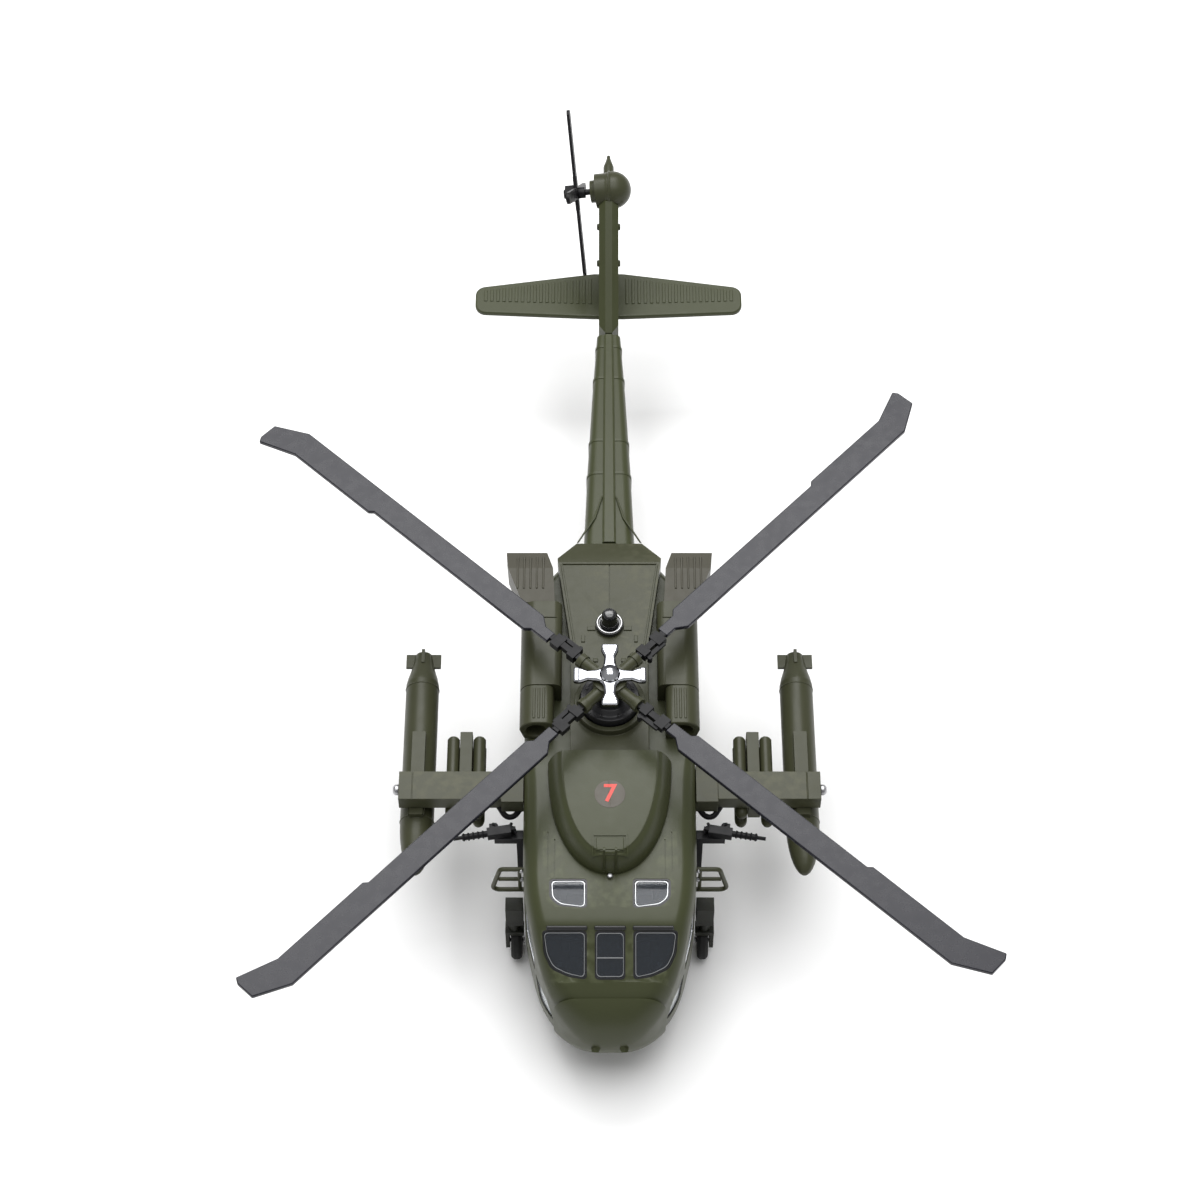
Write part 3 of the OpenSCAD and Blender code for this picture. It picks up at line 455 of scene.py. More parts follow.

# ---------------------------------------------------------------- windows
# Styrene panes set a little below the skin, each in a black gasket: smoky in the windshield and roof, pale in
# the chin and doors. Thin silver lines round the windshield, roof and door panes are painted highlights.


def clear_plastic(name, tint, through):
    """Moulded styrene: smoky before the dark cockpit, or a pale tint that lets less light through."""
    material = bpy.data.materials.new(name)
    material.use_nodes = True
    nodes, link = material.node_tree.nodes, material.node_tree.links.new
    shader = nodes["Principled BSDF"]
    place, haze = nodes.new("ShaderNodeTexCoord"), nodes.new("ShaderNodeTexNoise")
    haze.inputs["Scale"].default_value = 260
    level = nodes.new("ShaderNodeMapRange")
    level.inputs["To Min"].default_value, level.inputs["To Max"].default_value = 0.02, 0.09
    link(place.outputs["Object"], haze.inputs["Vector"])
    link(haze.outputs["Fac"], level.inputs["Value"])
    link(level.outputs["Result"], shader.inputs["Roughness"])
    shader.inputs["Base Color"].default_value = (*tint, 1)
    shader.inputs["Specular IOR Level"].default_value = 0.28
    shader.inputs["Transmission Weight"].default_value = through
    shader.inputs["IOR"].default_value = 1.49
    return material


clear = clear_plastic("clear_plastic", (0.15, 0.18, 0.22), 0.9)
pale = clear_plastic("pale_plastic", (0.62, 0.66, 0.68), 0.35)
gasket_black = coat("gasket_black", (0.012, 0.012, 0.013), (0.06, 0.06, 0.06), gloss=0.3, scuff_highlight_amount=0.2)
# Silver standing for the highlights on the panes: painted highlight along their edges and across the middle
# windshield pane.
painted_pane_highlight = coat("painted_pane_highlight", (0.42, 0.43, 0.44), (0.6, 0.6, 0.6), gloss=0.25, metal=0.85, scuff_highlight_amount=0.1)

gasket_w = 0.5 * MM
for name, kinds, finish, node in (("cockpit_panes", ("windshield", "roof"), clear, "cockpit_glazing"),
                                  ("door_panes", ("chin", "side"), pale, "cabin_glazing")):
    panes = skin(name, 0.35 * MM, 0.85 * MM)
    cut(panes, join("inside", window_cutters(-gasket_w, kinds)), operation="INTERSECT")
    smooth(panes)
    fit(panes, "airframe", finish, "clear_glazing", node)

gaskets = skin("window_gaskets", 0.12 * MM, 0.95 * MM)
cut(gaskets, join("inside", window_cutters(-0.02 * MM)), operation="INTERSECT")
cut(gaskets, join("inside", window_cutters(-gasket_w)))
smooth(gaskets)
fit(gaskets, "airframe", gasket_black, "black_plastic")

# A thin silver ring inside each gasket: painted highlight along the pane edge.
painted_edge_highlights = skin("painted_window_highlights", 0.26 * MM, 0.36 * MM)
highlit_kinds = ("windshield", "roof", "side")
cut(painted_edge_highlights, join("inside", window_cutters(-gasket_w - 0.25 * MM, highlit_kinds)), operation="INTERSECT")
cut(painted_edge_highlights, join("inside", window_cutters(-gasket_w - 0.45 * MM, highlit_kinds)))
fit(painted_edge_highlights, "airframe", painted_pane_highlight, "silver_ring")
visors = []
for low, high in ((-3.6, 3.6), (5.2, 14.6), (-14.6, -5.2)):
    corners = [shield_foot + Vector((x * MM, 0, 0)) + up_shield * up * MM - out_shield * 0.5 * MM
               for x, up in ((low, 12.5), (high, 12.5), (high, 13.5), (low, 13.5))]
    visors.append(prism("visor", corners, out_shield, 1.0 * MM))
visors = join("windshield_visors", visors)
soften(visors, 0.3 * MM, 3)
fit(visors, "airframe", gasket_black, "black_plastic")
# A thin silver line across the middle windshield pane: painted highlight.
bar = skin("windshield_painted_highlight", 0.26 * MM, 0.36 * MM)
cut(bar, prism("bar", [shield_foot + Vector((x * MM, 0, 0)) + up_shield * up * MM + out_shield * 3 * MM
                       for x, up in ((-3, 5.9), (3, 5.9), (3, 6.15), (-3, 6.15))], -out_shield, 6 * MM),
                       operation="INTERSECT")
fit(bar, "airframe", painted_pane_highlight, "silver_ring")
bpy.data.objects.remove(body)

# ---------------------------------------------------------------- cockpit and cabin inside
# One black plastic floor carries the two seats, the instrument panel and the bulkhead. They only show as
# dark shapes behind the panes.

inside_black = coat("inside_black", (0.008, 0.009, 0.008), (0.02, 0.02, 0.02), gloss=0.6, scuff_highlight_amount=0.2, shine=0.1)


def joined_copy(node):
    """The node's own shape, with its loose faces merged into one surface."""
    piece = twin(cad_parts[node], node + "_moulding")
    piece.parent = None
    for key in [k for k in piece.keys() if k.startswith("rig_")]:
        del piece[key]
    choose(piece)
    bpy.ops.mesh.customdata_custom_splitnormals_clear()
    bpy.ops.object.mode_set(mode="EDIT")
    bpy.ops.mesh.select_all(action="SELECT")
    bpy.ops.mesh.remove_doubles(threshold=0.002 * MM)
    bpy.ops.mesh.dissolve_limited(angle_limit=math.radians(0.6))
    bpy.ops.object.mode_set(mode="OBJECT")
    return piece


def moulded(node, body, finish, slot, width=0.15, segments=2, angle=40):
    """A node's shape with its edges rounded off, as no moulding or casting has sharp ones."""
    piece = joined_copy(node)
    soften(piece, width * MM, segments, angle)
    return fit(piece, body, finish, slot, node)


for node in ("cabin_floor", "instrument_panel", "pilot_seats", "cabin_bulkhead"):
    moulded(node, "airframe", inside_black, "black_plastic", 0.25)

# ---------------------------------------------------------------- pylon fairing
# A separate painted plastic cover on the roof in front of the mast, with a rolled shoulder, a shallow hatch
# and two ribs in front of it. A plain disc with a numeral is printed on its top.

fairing_low, fairing_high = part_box("pylon_fairing")
fairing_half = fairing_high.x
fairing_back = fairing_high.y
fairing_deep = fairing_back - fairing_low.y
fairing_top = fairing_high.z


def fairing_ring(inset, rise):
    """A full, rounded half oval with a straight back; its top falls away towards the front."""
    ring = []
    for k in range(33):
        turn = math.radians(180 + 5.625 * k)
        across, ahead = (math.copysign(abs(v) ** 0.92, v) for v in (math.cos(turn), math.sin(turn)))
        x, y = (fairing_half - inset) * across, (fairing_deep - inset * 0.82) * ahead
        fall = 1 - 0.24 * (-y / fairing_deep) ** 2
        ring.append(Vector((x, fairing_back + y, roof + rise * fall)))
    for k in range(1, 4):
        ring.append(ring[32] + (ring[0] - ring[32]) * 0.25 * k)
    return ring


top_rise = fairing_top - roof
shoulder = ((0, 0), (0, 0.14), (0.25, 0.30), (1.0, 0.58), (1.9, 0.80), (2.6, 0.90), (3.1, 0.93), (3.35, 0.99),
            (3.8, 1.0), (7, 1.0), (10.5, 1.0), (fairing_half / MM - 0.3, 1.0))
fairing = loft("pylon_cover", [fairing_ring(inset * MM, rise * top_rise) for inset, rise in shoulder])
soften(fairing, 0.08 * MM, angle=45)
fit(fairing, "airframe", olive_paint, "olive_paint", "pylon_fairing")


def on_cover(name, piece, lift, thick, finish, slot):
    """Drops a flat piece on the fairing and gives it a thickness."""
    piece.name = name
    modify(piece, "SUBSURF", levels=4, render_levels=4, subdivision_type="SIMPLE")
    modify(piece, "SHRINKWRAP", target=fairing, wrap_method="PROJECT", use_project_z=True,
           use_negative_direction=True, use_positive_direction=False, offset=lift)
    modify(piece, "SOLIDIFY", thickness=thick, offset=1)
    outward(piece)
    soften(piece, thick * 0.4)
    fit(piece, "airframe", finish, slot)


def flat(low_x, high_x, low_y, high_y):
    choose()
    bpy.ops.mesh.primitive_plane_add(size=1, location=((low_x + high_x) / 2 * MM,
                                                       mast_y + (low_y + high_y) / 2 * MM, roof + 12 * MM))
    piece = bpy.context.object
    piece.scale = ((high_x - low_x) * MM, (high_y - low_y) * MM, 1)
    bpy.ops.object.transform_apply(location=True, rotation=True, scale=True)
    return piece


hatch_mm = -37.6
on_cover("fairing_hatch", flat(-3.2, 3.2, hatch_mm - 1.5, hatch_mm + 1.5),
         -0.1 * MM, 0.32 * MM, olive_paint, "olive_paint")
for side in (-1, 1):
    on_cover("hatch_side", flat(side * 3.9 - 0.22, side * 3.9 + 0.22, hatch_mm - 2.3, hatch_mm + 2.3),
             -0.1 * MM, 0.34 * MM, olive_paint, "olive_paint")
    on_cover("hatch_end", flat(-4.1, 4.1, hatch_mm + side * 2.2 - 0.22, hatch_mm + side * 2.2 + 0.22),
             -0.1 * MM, 0.34 * MM, olive_paint, "olive_paint")
    on_cover("fairing_rib", flat(side * 1.35 - 0.25, side * 1.35 + 0.25, hatch_mm - 5.4, hatch_mm - 2.5),
             -0.1 * MM, 0.36 * MM, olive_paint, "olive_paint")

badge_y = mast_y - 24.8 * MM
badge_black = coat("badge_black", (0.045, 0.036, 0.022), (0.1, 0.1, 0.08), gloss=0.36, scuff_highlight_amount=0.2)
badge_red = coat("badge_red", (0.62, 0.045, 0.03), (0.5, 0.2, 0.15), gloss=0.36, scuff_highlight_amount=0.2)
choose()
bpy.ops.mesh.primitive_circle_add(vertices=48, radius=3.6 * MM, fill_type="TRIFAN",
                                  location=(0, badge_y, roof + 12 * MM))
bpy.ops.object.transform_apply(location=True, rotation=True, scale=True)
on_cover("badge_disc", bpy.context.object, 0.01 * MM, 0.03 * MM, badge_black, "black_plastic")
choose()
bpy.ops.object.text_add(location=(0, badge_y, roof + 12 * MM))
numeral = bpy.context.object
numeral.data.body = "7"
numeral.data.size = 6.4 * MM
numeral.data.align_x = "CENTER"
numeral.data.align_y = "CENTER"
numeral.data.offset = 0.12 * MM
bpy.ops.object.convert(target="MESH")
choose(numeral)
bpy.ops.object.transform_apply(location=True, rotation=True, scale=True)
on_cover("badge_numeral", numeral, 0.045 * MM, 0.03 * MM, badge_red, "gloss_black")

# ---------------------------------------------------------------- mast fairing, bush and swashplate
# A squared plastic cover with a round well for the mast. The swashplate drum stands in the well, near-black
# for its dark green plastic with painted shade under the hub, and the mast turns in a brass bush below it.

olive_plastic = coat("olive_plastic", (0.039, 0.041, 0.021), (0.10, 0.10, 0.06), gloss=0.30, shine=0.25)
# Near-black: the drum's own dark green plastic, darkened further as painted shade under the hub.
drum_dark_green_plus_shade = coat("drum_dark_green_plus_shade", (0.010, 0.010, 0.012), (0.05, 0.05, 0.05), gloss=0.34, scuff_highlight_amount=0.3)
bush_brass = coat("bush_brass", (0.55, 0.38, 0.13), (0.7, 0.55, 0.3), gloss=0.25, metal=1, scuff_highlight_amount=0.2)

moulded("mast_fairing", "airframe", olive_plastic, "olive_plastic", 0.35, 3)
moulded("swashplate", "airframe", drum_dark_green_plus_shade, "black_plastic", 0.25, 3)
moulded("mast_bush", "airframe", bush_brass, "bush_brass", 0.1)


def studs(name, places, radius, height, axis="z"):
    """A row of small domed rivets or bolts, one solid each."""
    pieces = []
    for place in places:
        choose()
        bpy.ops.mesh.primitive_cylinder_add(vertices=12, radius=radius, depth=height, location=place,
                                            rotation={"z": (0, 0, 0), "x": (0, math.pi / 2, 0),
                                                      "y": (math.pi / 2, 0, 0)}[axis])
        piece = bpy.context.object
        bpy.ops.object.transform_apply(location=True, rotation=True, scale=True)
        pieces.append(piece)
    piece = join(name, pieces)
    soften(piece, min(radius, height) * 0.35, 2)
    return piece


drum_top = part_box("swashplate")[1].z
drum_bolts = studs("swashplate_bolts", [
    (5.75 * MM * math.cos(a), mast_y + 5.75 * MM * math.sin(a), drum_top - 1.2 * MM)
    for a in (math.radians(22.5 + 45 * k) for k in range(8))], 0.45 * MM, 1.1 * MM)
fit(drum_bolts, "airframe", drum_dark_green_plus_shade, "black_plastic")

# ---------------------------------------------------------------- engine deck and jammer
# The flat plastic deck behind the mast spreads between the exhausts and slopes down to the boom. It has a
# centre seam and small raised access plates. A black dome in a silver ring stands on it.

deck_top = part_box("engine_deck")[1].z
deck = joined_copy("engine_deck")
line = 0.26 * MM
wide = 0.4 * MM
grooves = [block("seam", (-line / 2, mast_y + 24 * MM, deck_top - 0.25 * MM),
                 (line / 2, mast_y + 43 * MM, deck_top + MM))]
cut(deck, join("seams", grooves))
soften(deck, 0.3 * MM, 3)
fit(deck, "airframe", olive_plastic, "olive_plastic", "engine_deck")
plates = [block("ridge", (-11.6 * MM, mast_y + 42.6 * MM, deck_top - 0.2 * MM),
                (11.6 * MM, mast_y + 42.6 * MM + wide, deck_top + 0.32 * MM))]
for side in (-1, 1):
    for x, y, w, l in ((4.4, 23.5, 2.0, 1.2), (6.4, 20.5, 0.9, 2.0), (3.4, 14.2, 1.2, 1.0)):
        plates.append(block("plate", ((side * x - w / 2) * MM, mast_y + (y - l / 2) * MM,
                                      deck_top - 0.1 * MM),
                            ((side * x + w / 2) * MM, mast_y + (y + l / 2) * MM, deck_top + 0.3 * MM)))
    rim = [Vector((side * x * MM, mast_y + y * MM, deck_top - 0.1 * MM)) for x, y in
           ((8.2, 13), (8.7, 13), (8.7, 18.6), (12.0, 42.6), (11.5, 42.6), (8.2, 18.8))]
    plates.append(prism("rim", rim, Vector((0, 0, 1)), 0.38 * MM))
plates = join("deck_plates", plates)
soften(plates, 0.1 * MM)
fit(plates, "airframe", olive_plastic, "olive_plastic")

ring_silver = coat("ring_silver", (0.50, 0.50, 0.50), (0.7, 0.7, 0.7), gloss=0.2, metal=0.9, scuff_highlight_amount=0.2)
gloss_black = coat("gloss_black", (0.008, 0.008, 0.009), (0.04, 0.04, 0.04), gloss=0.12, scuff_highlight_amount=0.1, clear=0.6)
jammer_y = (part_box("jammer_base")[0].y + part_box("jammer_base")[1].y) / 2
base = joined_copy("jammer_base")
soften(base, 0.2 * MM, 3)
fit(base, "airframe", gloss_black, "silver_ring", "jammer_base")
choose()
bpy.ops.mesh.primitive_torus_add(major_radius=2.95 * MM, minor_radius=0.28 * MM, major_segments=48,
                                 minor_segments=12,
                                 location=(0, jammer_y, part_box("jammer_base")[1].z + 0.1 * MM))
silver_ring = bpy.context.object
silver_ring.name = "jammer_ring"
smooth(silver_ring)
fit(silver_ring, "airframe", ring_silver, "silver_ring")
moulded("jammer_dome", "airframe", gloss_black, "gloss_black", 0.3, 3, 25)

# ---------------------------------------------------------------- engines: nacelles, intakes and exhausts
# Each engine is three plastic mouldings in line on the roof edge: a ribbed intake, a plain nacelle with a
# seam round it, and an exhaust box turned outwards with cooling ribs across its top.


def ribs(name, low, high, count, along, width, finish, slot):
    """Equal raised bars across a surface, spread along one axis."""
    bars = []
    for k in range(count):
        a, b = list(low), list(high)
        middle = low[along] + (high[along] - low[along]) * (k + 0.5) / count
        a[along], b[along] = middle - width / 2, middle + width / 2
        bars.append(block("rib", a, b))
    piece = join(name, bars)
    soften(piece, width * 0.3)
    return fit(piece, "airframe", finish, slot)


scorched = coat("scorched_plastic", (0.046, 0.043, 0.029), (0.10, 0.09, 0.07), gloss=0.34, blotch=0.08,
                shine=0.25)
for side, hand in ((1, "left"), (-1, "right")):
    low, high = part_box(f"nacelle_{hand}")
    nacelle = joined_copy(f"nacelle_{hand}")
    cuts = [block("seam", (low.x - MM, mast_y + y * MM, high.z - 0.25 * MM),
                  (high.x + MM, mast_y + y * MM + line, high.z + MM))
            for y in (24.5,)]
    outer = high.x if side > 0 else low.x
    cuts += [block("seam", (outer - 0.25 * MM, mast_y + y * MM, low.z + 0.2 * MM),
                   (outer + 0.25 * MM, mast_y + y * MM + line, high.z - 3.6 * MM))
             for y in (12, 24.5)]
    cut(nacelle, join("seams", cuts))
    soften(nacelle, 0.6 * MM, 4, 50)
    fit(nacelle, "airframe", olive_plastic, "olive_plastic", f"nacelle_{hand}")
    moulded(f"intake_{hand}", "airframe", olive_plastic, "olive_plastic", 0.35, 3, 50)
    low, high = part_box(f"intake_{hand}")
    inner = low.x if side > 0 else high.x
    x = sorted((inner + side * 1.8 * MM, inner + side * 5.2 * MM))
    ribs(f"intake_ribs_{hand}", (x[0], low.y + 1.2 * MM, high.z - 0.3 * MM),
         (x[1], high.y - 1 * MM, high.z + 0.18 * MM),
         3, 0, 0.7 * MM, olive_plastic, "olive_plastic")
    moulded(f"exhaust_{hand}", "airframe", scorched, "olive_plastic", 0.9, 4)
    low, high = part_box(f"exhaust_{hand}")
    x = sorted((side * 15.4 * MM, side * 23.2 * MM))
    ribs(f"exhaust_ribs_{hand}", (x[0], low.y + 4 * MM, high.z - 0.9 * MM),
         (x[1], high.y - 1.6 * MM, high.z + 0.14 * MM),
         5, 0, 0.5 * MM, scorched, "olive_plastic")

# ---------------------------------------------------------------- tail boom
# Half of the zinc casting: a tapering boom with a raised spine along its top and four raised bands round it.

boom_low, boom_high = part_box("tail_boom")


def boom_ring(y, half, low, high, r):
    return [Vector(p) for p in station(mast_y + y * MM, half * MM, low * MM, high * MM, r * MM, r * MM)]


belly_mm, roof_mm = belly / MM, roof / MM
boom_shape = ((52.9, 6.4, belly_mm + 12.5, roof_mm - 1.5, 2.6),
              (78.3, 5.5, belly_mm + 14.5, roof_mm - 2.5, 2.4),
              (103.6, 4.3, belly_mm + 16.8, roof_mm - 3.5, 2),
              (123.7, 3.1, belly_mm + 18, roof_mm - 4.4, 1.4))
boom = loft("boom_casting", [boom_ring(*s) for s in boom_shape])
smooth(boom, 50)
fit(boom, "airframe", olive_paint, "olive_paint", "tail_boom")


def boom_at(y):
    """Half width, underside and top of the boom at a place along it."""
    for a, b in zip(boom_shape, boom_shape[1:]):
        if a[0] <= y <= b[0]:
            t = (y - a[0]) / (b[0] - a[0])
            return [a[k] + (b[k] - a[k]) * t for k in (1, 2, 3, 4)]


spine = loft("boom_spine", [
    [Vector((x * MM, mast_y + y * MM, z * MM)) for x, z in ((-w, top - 1), (w, top - 1), (w, top + 0.35),
                                                            (w - 0.5, top + 0.65),
                                                          (0.5 - w, top + 0.65), (-w, top + 0.35))]
    for y, w, top in ((53.2, 1.7, roof_mm - 1.5), (78.3, 1.55, roof_mm - 2.5), (103.6, 1.4, roof_mm - 3.5),
                      (123.5, 1.2, roof_mm - 4.4))])
smooth(spine, 30)
fit(spine, "airframe", olive_paint, "olive_paint")
bands = []
for y in (76, 87, 108.5, 119.5):
    half, low, high, r = boom_at(y)
    bands.append(loft("band", [boom_ring(y + d, half + g, low - g, high + g, r + g)
                               for d, g in ((-0.45, 0.02), (-0.3, 0.2), (0.3, 0.2), (0.45, 0.02))]))
bands = join("boom_bands", bands)
smooth(bands, 30)
fit(bands, "airframe", olive_paint, "olive_paint")
apron = []
for side in (-1, 1):
    strip = [(7.6, 53.3, roof_mm - 1.6), (8.1, 53.3, roof_mm - 1.9), (4.0, 61, roof_mm - 1.75),
             (2.0, 68, roof_mm - 2.0),
             (1.6, 68, roof_mm - 2.0), (3.4, 61, roof_mm - 1.7)]
    apron.append(prism("strip", [Vector((side * x * MM, mast_y + y * MM, z * MM)) for x, y, z in strip],
                       Vector((0, 0, 1)), 0.5 * MM))
apron = join("boom_apron", apron)
soften(apron, 0.12 * MM)
fit(apron, "airframe", olive_paint, "olive_paint")

# ---------------------------------------------------------------- fin, stabilator and tail gearbox
# The fin is cast with the boom and carries the stabilator through a slot. The stabilator is pressed with
# fore-and-aft ribs behind a smooth leading edge. The gearbox is a cone and a ball meeting at a raised ring.

moulded("tail_fin", "airframe", olive_paint, "olive_paint", 0.5, 3, 25)
bumps = studs("fin_lugs", [(side * 2.75 * MM, mast_y + y * MM, z * MM) for side in (-1, 1) for y,
                           z in ((141.5, 45), (149.5, 50.5))],
              0.9 * MM, 0.8 * MM, "x")
fit(bumps, "airframe", olive_paint, "olive_paint")

moulded("stabilator", "airframe", olive_paint, "olive_paint", 0.5, 3, 60)
stab_low, stab_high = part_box("stabilator")
rib_bars = []
for side in (-1, 1):
    for k in range(18):
        x = 5.0 + 1.66 * k
        lead, back = stab_low.y + (4.2 + 0.035 * x) * MM, stab_high.y - (1.3 + 5.2 * x / 36) * MM
        rib_bars.append(block("rib", (side * x * MM - 0.45 * MM, lead, stab_high.z - 0.2 * MM),
                              (side * x * MM + 0.45 * MM, back, stab_high.z + 0.24 * MM)))
rib_bars = join("stabilator_ribs", rib_bars)
soften(rib_bars, 0.16 * MM)
fit(rib_bars, "airframe", olive_paint, "olive_paint")

moulded("tail_gearbox", "airframe", olive_plastic, "olive_plastic", 0.2, 2, 40)
moulded("tail_beacon", "airframe", olive_plastic, "olive_plastic", 0.2, 2, 30)
box_low, box_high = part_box("tail_gearbox")
choose()
bpy.ops.mesh.primitive_torus_add(major_radius=4.75 * MM, minor_radius=0.42 * MM, major_segments=56,
                                 minor_segments=10,
                                 location=(0.1 * MM, (box_low.y + box_high.y) / 2,
                                           (box_low.z + box_high.z) / 2),
                                 rotation=(0, math.pi / 2, 0))
ridge = bpy.context.object
ridge.name = "gearbox_ring"
smooth(ridge)
fit(ridge, "airframe", olive_plastic, "olive_plastic")

# ---------------------------------------------------------------- stub wings and their stores
# Plastic wings plug into the cabin sides. Each carries a long tank with cruciform tail fins near its tip and
# a rack of four missiles inboard, and has a plain steel bolt in its end.

steel = coat("plain_steel", (0.36, 0.36, 0.37), (0.6, 0.6, 0.6), gloss=0.28, metal=1, scuff_highlight_amount=0.2)
for side, hand in ((1, "left"), (-1, "right")):
    wing = joined_copy(f"stub_wing_{hand}")
    low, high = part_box(f"stub_wing_{hand}")
    tip = (high.x if side > 0 else low.x) - side * 3.2 * MM
    cut(wing, join("seams", [block("seam", (tip - line / 2, low.y - MM, high.z - 0.6 * MM),
                                   (tip + line / 2, high.y + MM, high.z + MM))]))
    soften(wing, 0.35 * MM, 3)
    fit(wing, "airframe", olive_plastic, "olive_plastic", f"stub_wing_{hand}")
    moulded(f"tank_{hand}", "airframe", olive_plastic, "olive_plastic", 0.2, 2, 45)
    low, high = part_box(f"tank_{hand}")
    tank_x, tank_z = (low.x + high.x) / 2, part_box(f"tank_{hand}")[0].z + 4.05 * MM
    hoops = []
    for y in (low.y + 14.2 * MM, high.y - 10.4 * MM):
        choose()
        bpy.ops.mesh.primitive_torus_add(major_radius=4.03 * MM, minor_radius=0.16 * MM, major_segments=48,
                                         minor_segments=8,
                                         location=(tank_x, y, tank_z), rotation=(math.pi / 2, 0, 0))
        bpy.ops.object.transform_apply(location=True, rotation=True, scale=True)
        hoops.append(bpy.context.object)
    hoops = join(f"tank_hoops_{hand}", hoops)
    smooth(hoops)
    fit(hoops, "airframe", olive_plastic, "olive_plastic")
    moulded(f"missile_rack_{hand}", "airframe", olive_plastic, "olive_plastic", 0.2)
    moulded(f"missiles_{hand}", "airframe", olive_plastic, "olive_plastic", 0.1, 2, 50)
moulded("wing_tip_bolts", "airframe", steel, "steel", 0.12)
moulded("body_screws", "airframe", steel, "steel", 0.08)

# ---------------------------------------------------------------- step frames and landing gear
# Each step is a two-cell ladder of round rod beside the cockpit, held by small steel pins. The main legs are
# plastic struts with a black rubber-look wheel on a steel pin, and the tail wheel turns in a small fork.

tyre_black = coat("tyre_black", (0.010, 0.010, 0.010), (0.05, 0.05, 0.05), gloss=0.6, scuff_highlight_amount=0.4, grain=5000,
                  shine=0.3)
leg_black = coat("leg_black", (0.012, 0.013, 0.009), (0.05, 0.05, 0.035), gloss=0.4, shine=0.2)


def rod(name, path, radius, sides=12, bend=0.0):
    """A round rod along a path, its corners bent to a curve."""
    path = [Vector(p) for p in path]
    places = [path[0]]
    for before, corner, after in zip(path, path[1:], path[2:]):
        if bend:
            a = corner + (before - corner).normalized() * bend
            b = corner + (after - corner).normalized() * bend
            places += [a.lerp(corner, t).lerp(corner.lerp(b, t), t) for t in (0, 0.25, 0.5, 0.75, 1)]
        else:
            places.append(corner)
    places.append(path[-1])
    rings = []
    side = (places[1] - places[0]).orthogonal().normalized()
    for k, place in enumerate(places):
        ahead = (places[min(k + 1, len(places) - 1)] - places[max(k - 1, 0)]).normalized()
        side = (side - ahead * side.dot(ahead)).normalized()
        up = ahead.cross(side)
        rings.append([place + (side * math.cos(a) + up * math.sin(a)) * radius
                      for a in (2 * math.pi * j / sides for j in range(sides))])
    piece = loft(name, rings)
    smooth(piece, 50)
    return piece


step_low, step_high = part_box("step_frame_left")
for side, hand in ((1, "left"), (-1, "right")):
    y = (step_low.y + step_high.y) / 2
    x_in, x_top, x_out = half_cabin - 0.3 * MM, step_low.x + 5.0 * MM, step_high.x - 0.6 * MM
    top, mid, bottom = step_high.z - 0.6 * MM, step_high.z - 5.2 * MM, step_low.z + 0.6 * MM
    outer = rod("frame", [(side * x_in, y, top), (side * x_top, y, top), (side * x_out, y, bottom + 1 * MM),
                          (side * (x_out - 1 * MM), y, bottom), (side * x_in, y, bottom)], 0.56 * MM,
                          bend=0.9 * MM)
    cross_bar = rod("bar", [(side * x_in, y, mid), (side * (x_top + 0.5 * MM), y, mid)], 0.5 * MM)
    upright = rod("upright", [(side * (x_in + 1.1 * MM), y, bottom), (side * (x_in + 1.1 * MM), y, top)],
                  0.45 * MM)
    ladder = join(f"step_ladder_{hand}", [outer, cross_bar, upright])
    fit(ladder, "airframe", olive_plastic, "olive_plastic", f"step_frame_{hand}")
peg = studs("fairing_peg", [(0, fairing_low.y - 0.6 * MM, roof + 0.2 * MM)], 0.65 * MM, 1.4 * MM)
fit(peg, "airframe", steel, "steel")
pins = studs("step_pins", [(side * (half_cabin + 0.3 * MM), step_low.y + 0.1 * MM, z) for side in (-1, 1)
                           for z in (step_high.z - 0.6 * MM, step_high.z - 4.6 * MM)], 0.42 * MM, 0.9 * MM,
                           "y")
fit(pins, "airframe", steel, "steel")
for side, hand in ((1, "left"), (-1, "right")):
    moulded(f"gear_leg_{hand}", "airframe", leg_black, "olive_plastic", 0.25, 3)
    moulded(f"wheel_{hand}", f"wheel_{hand}", tyre_black, "tyre_black", 0.2, 3, 30)
moulded("tail_wheel_fork", "airframe", leg_black, "olive_plastic", 0.2)
moulded("tail_wheel", "tail_wheel", tyre_black, "tyre_black", 0.15, 3, 30)
moulded("wheel_axles", "airframe", steel, "steel", 0.06)

# ---------------------------------------------------------------- door guns
# Black plastic guns pushed on pins at the ends of short arms. The barrel jacket has cooling rings and the
# receiver a feed tray, a sight and a pair of grips.

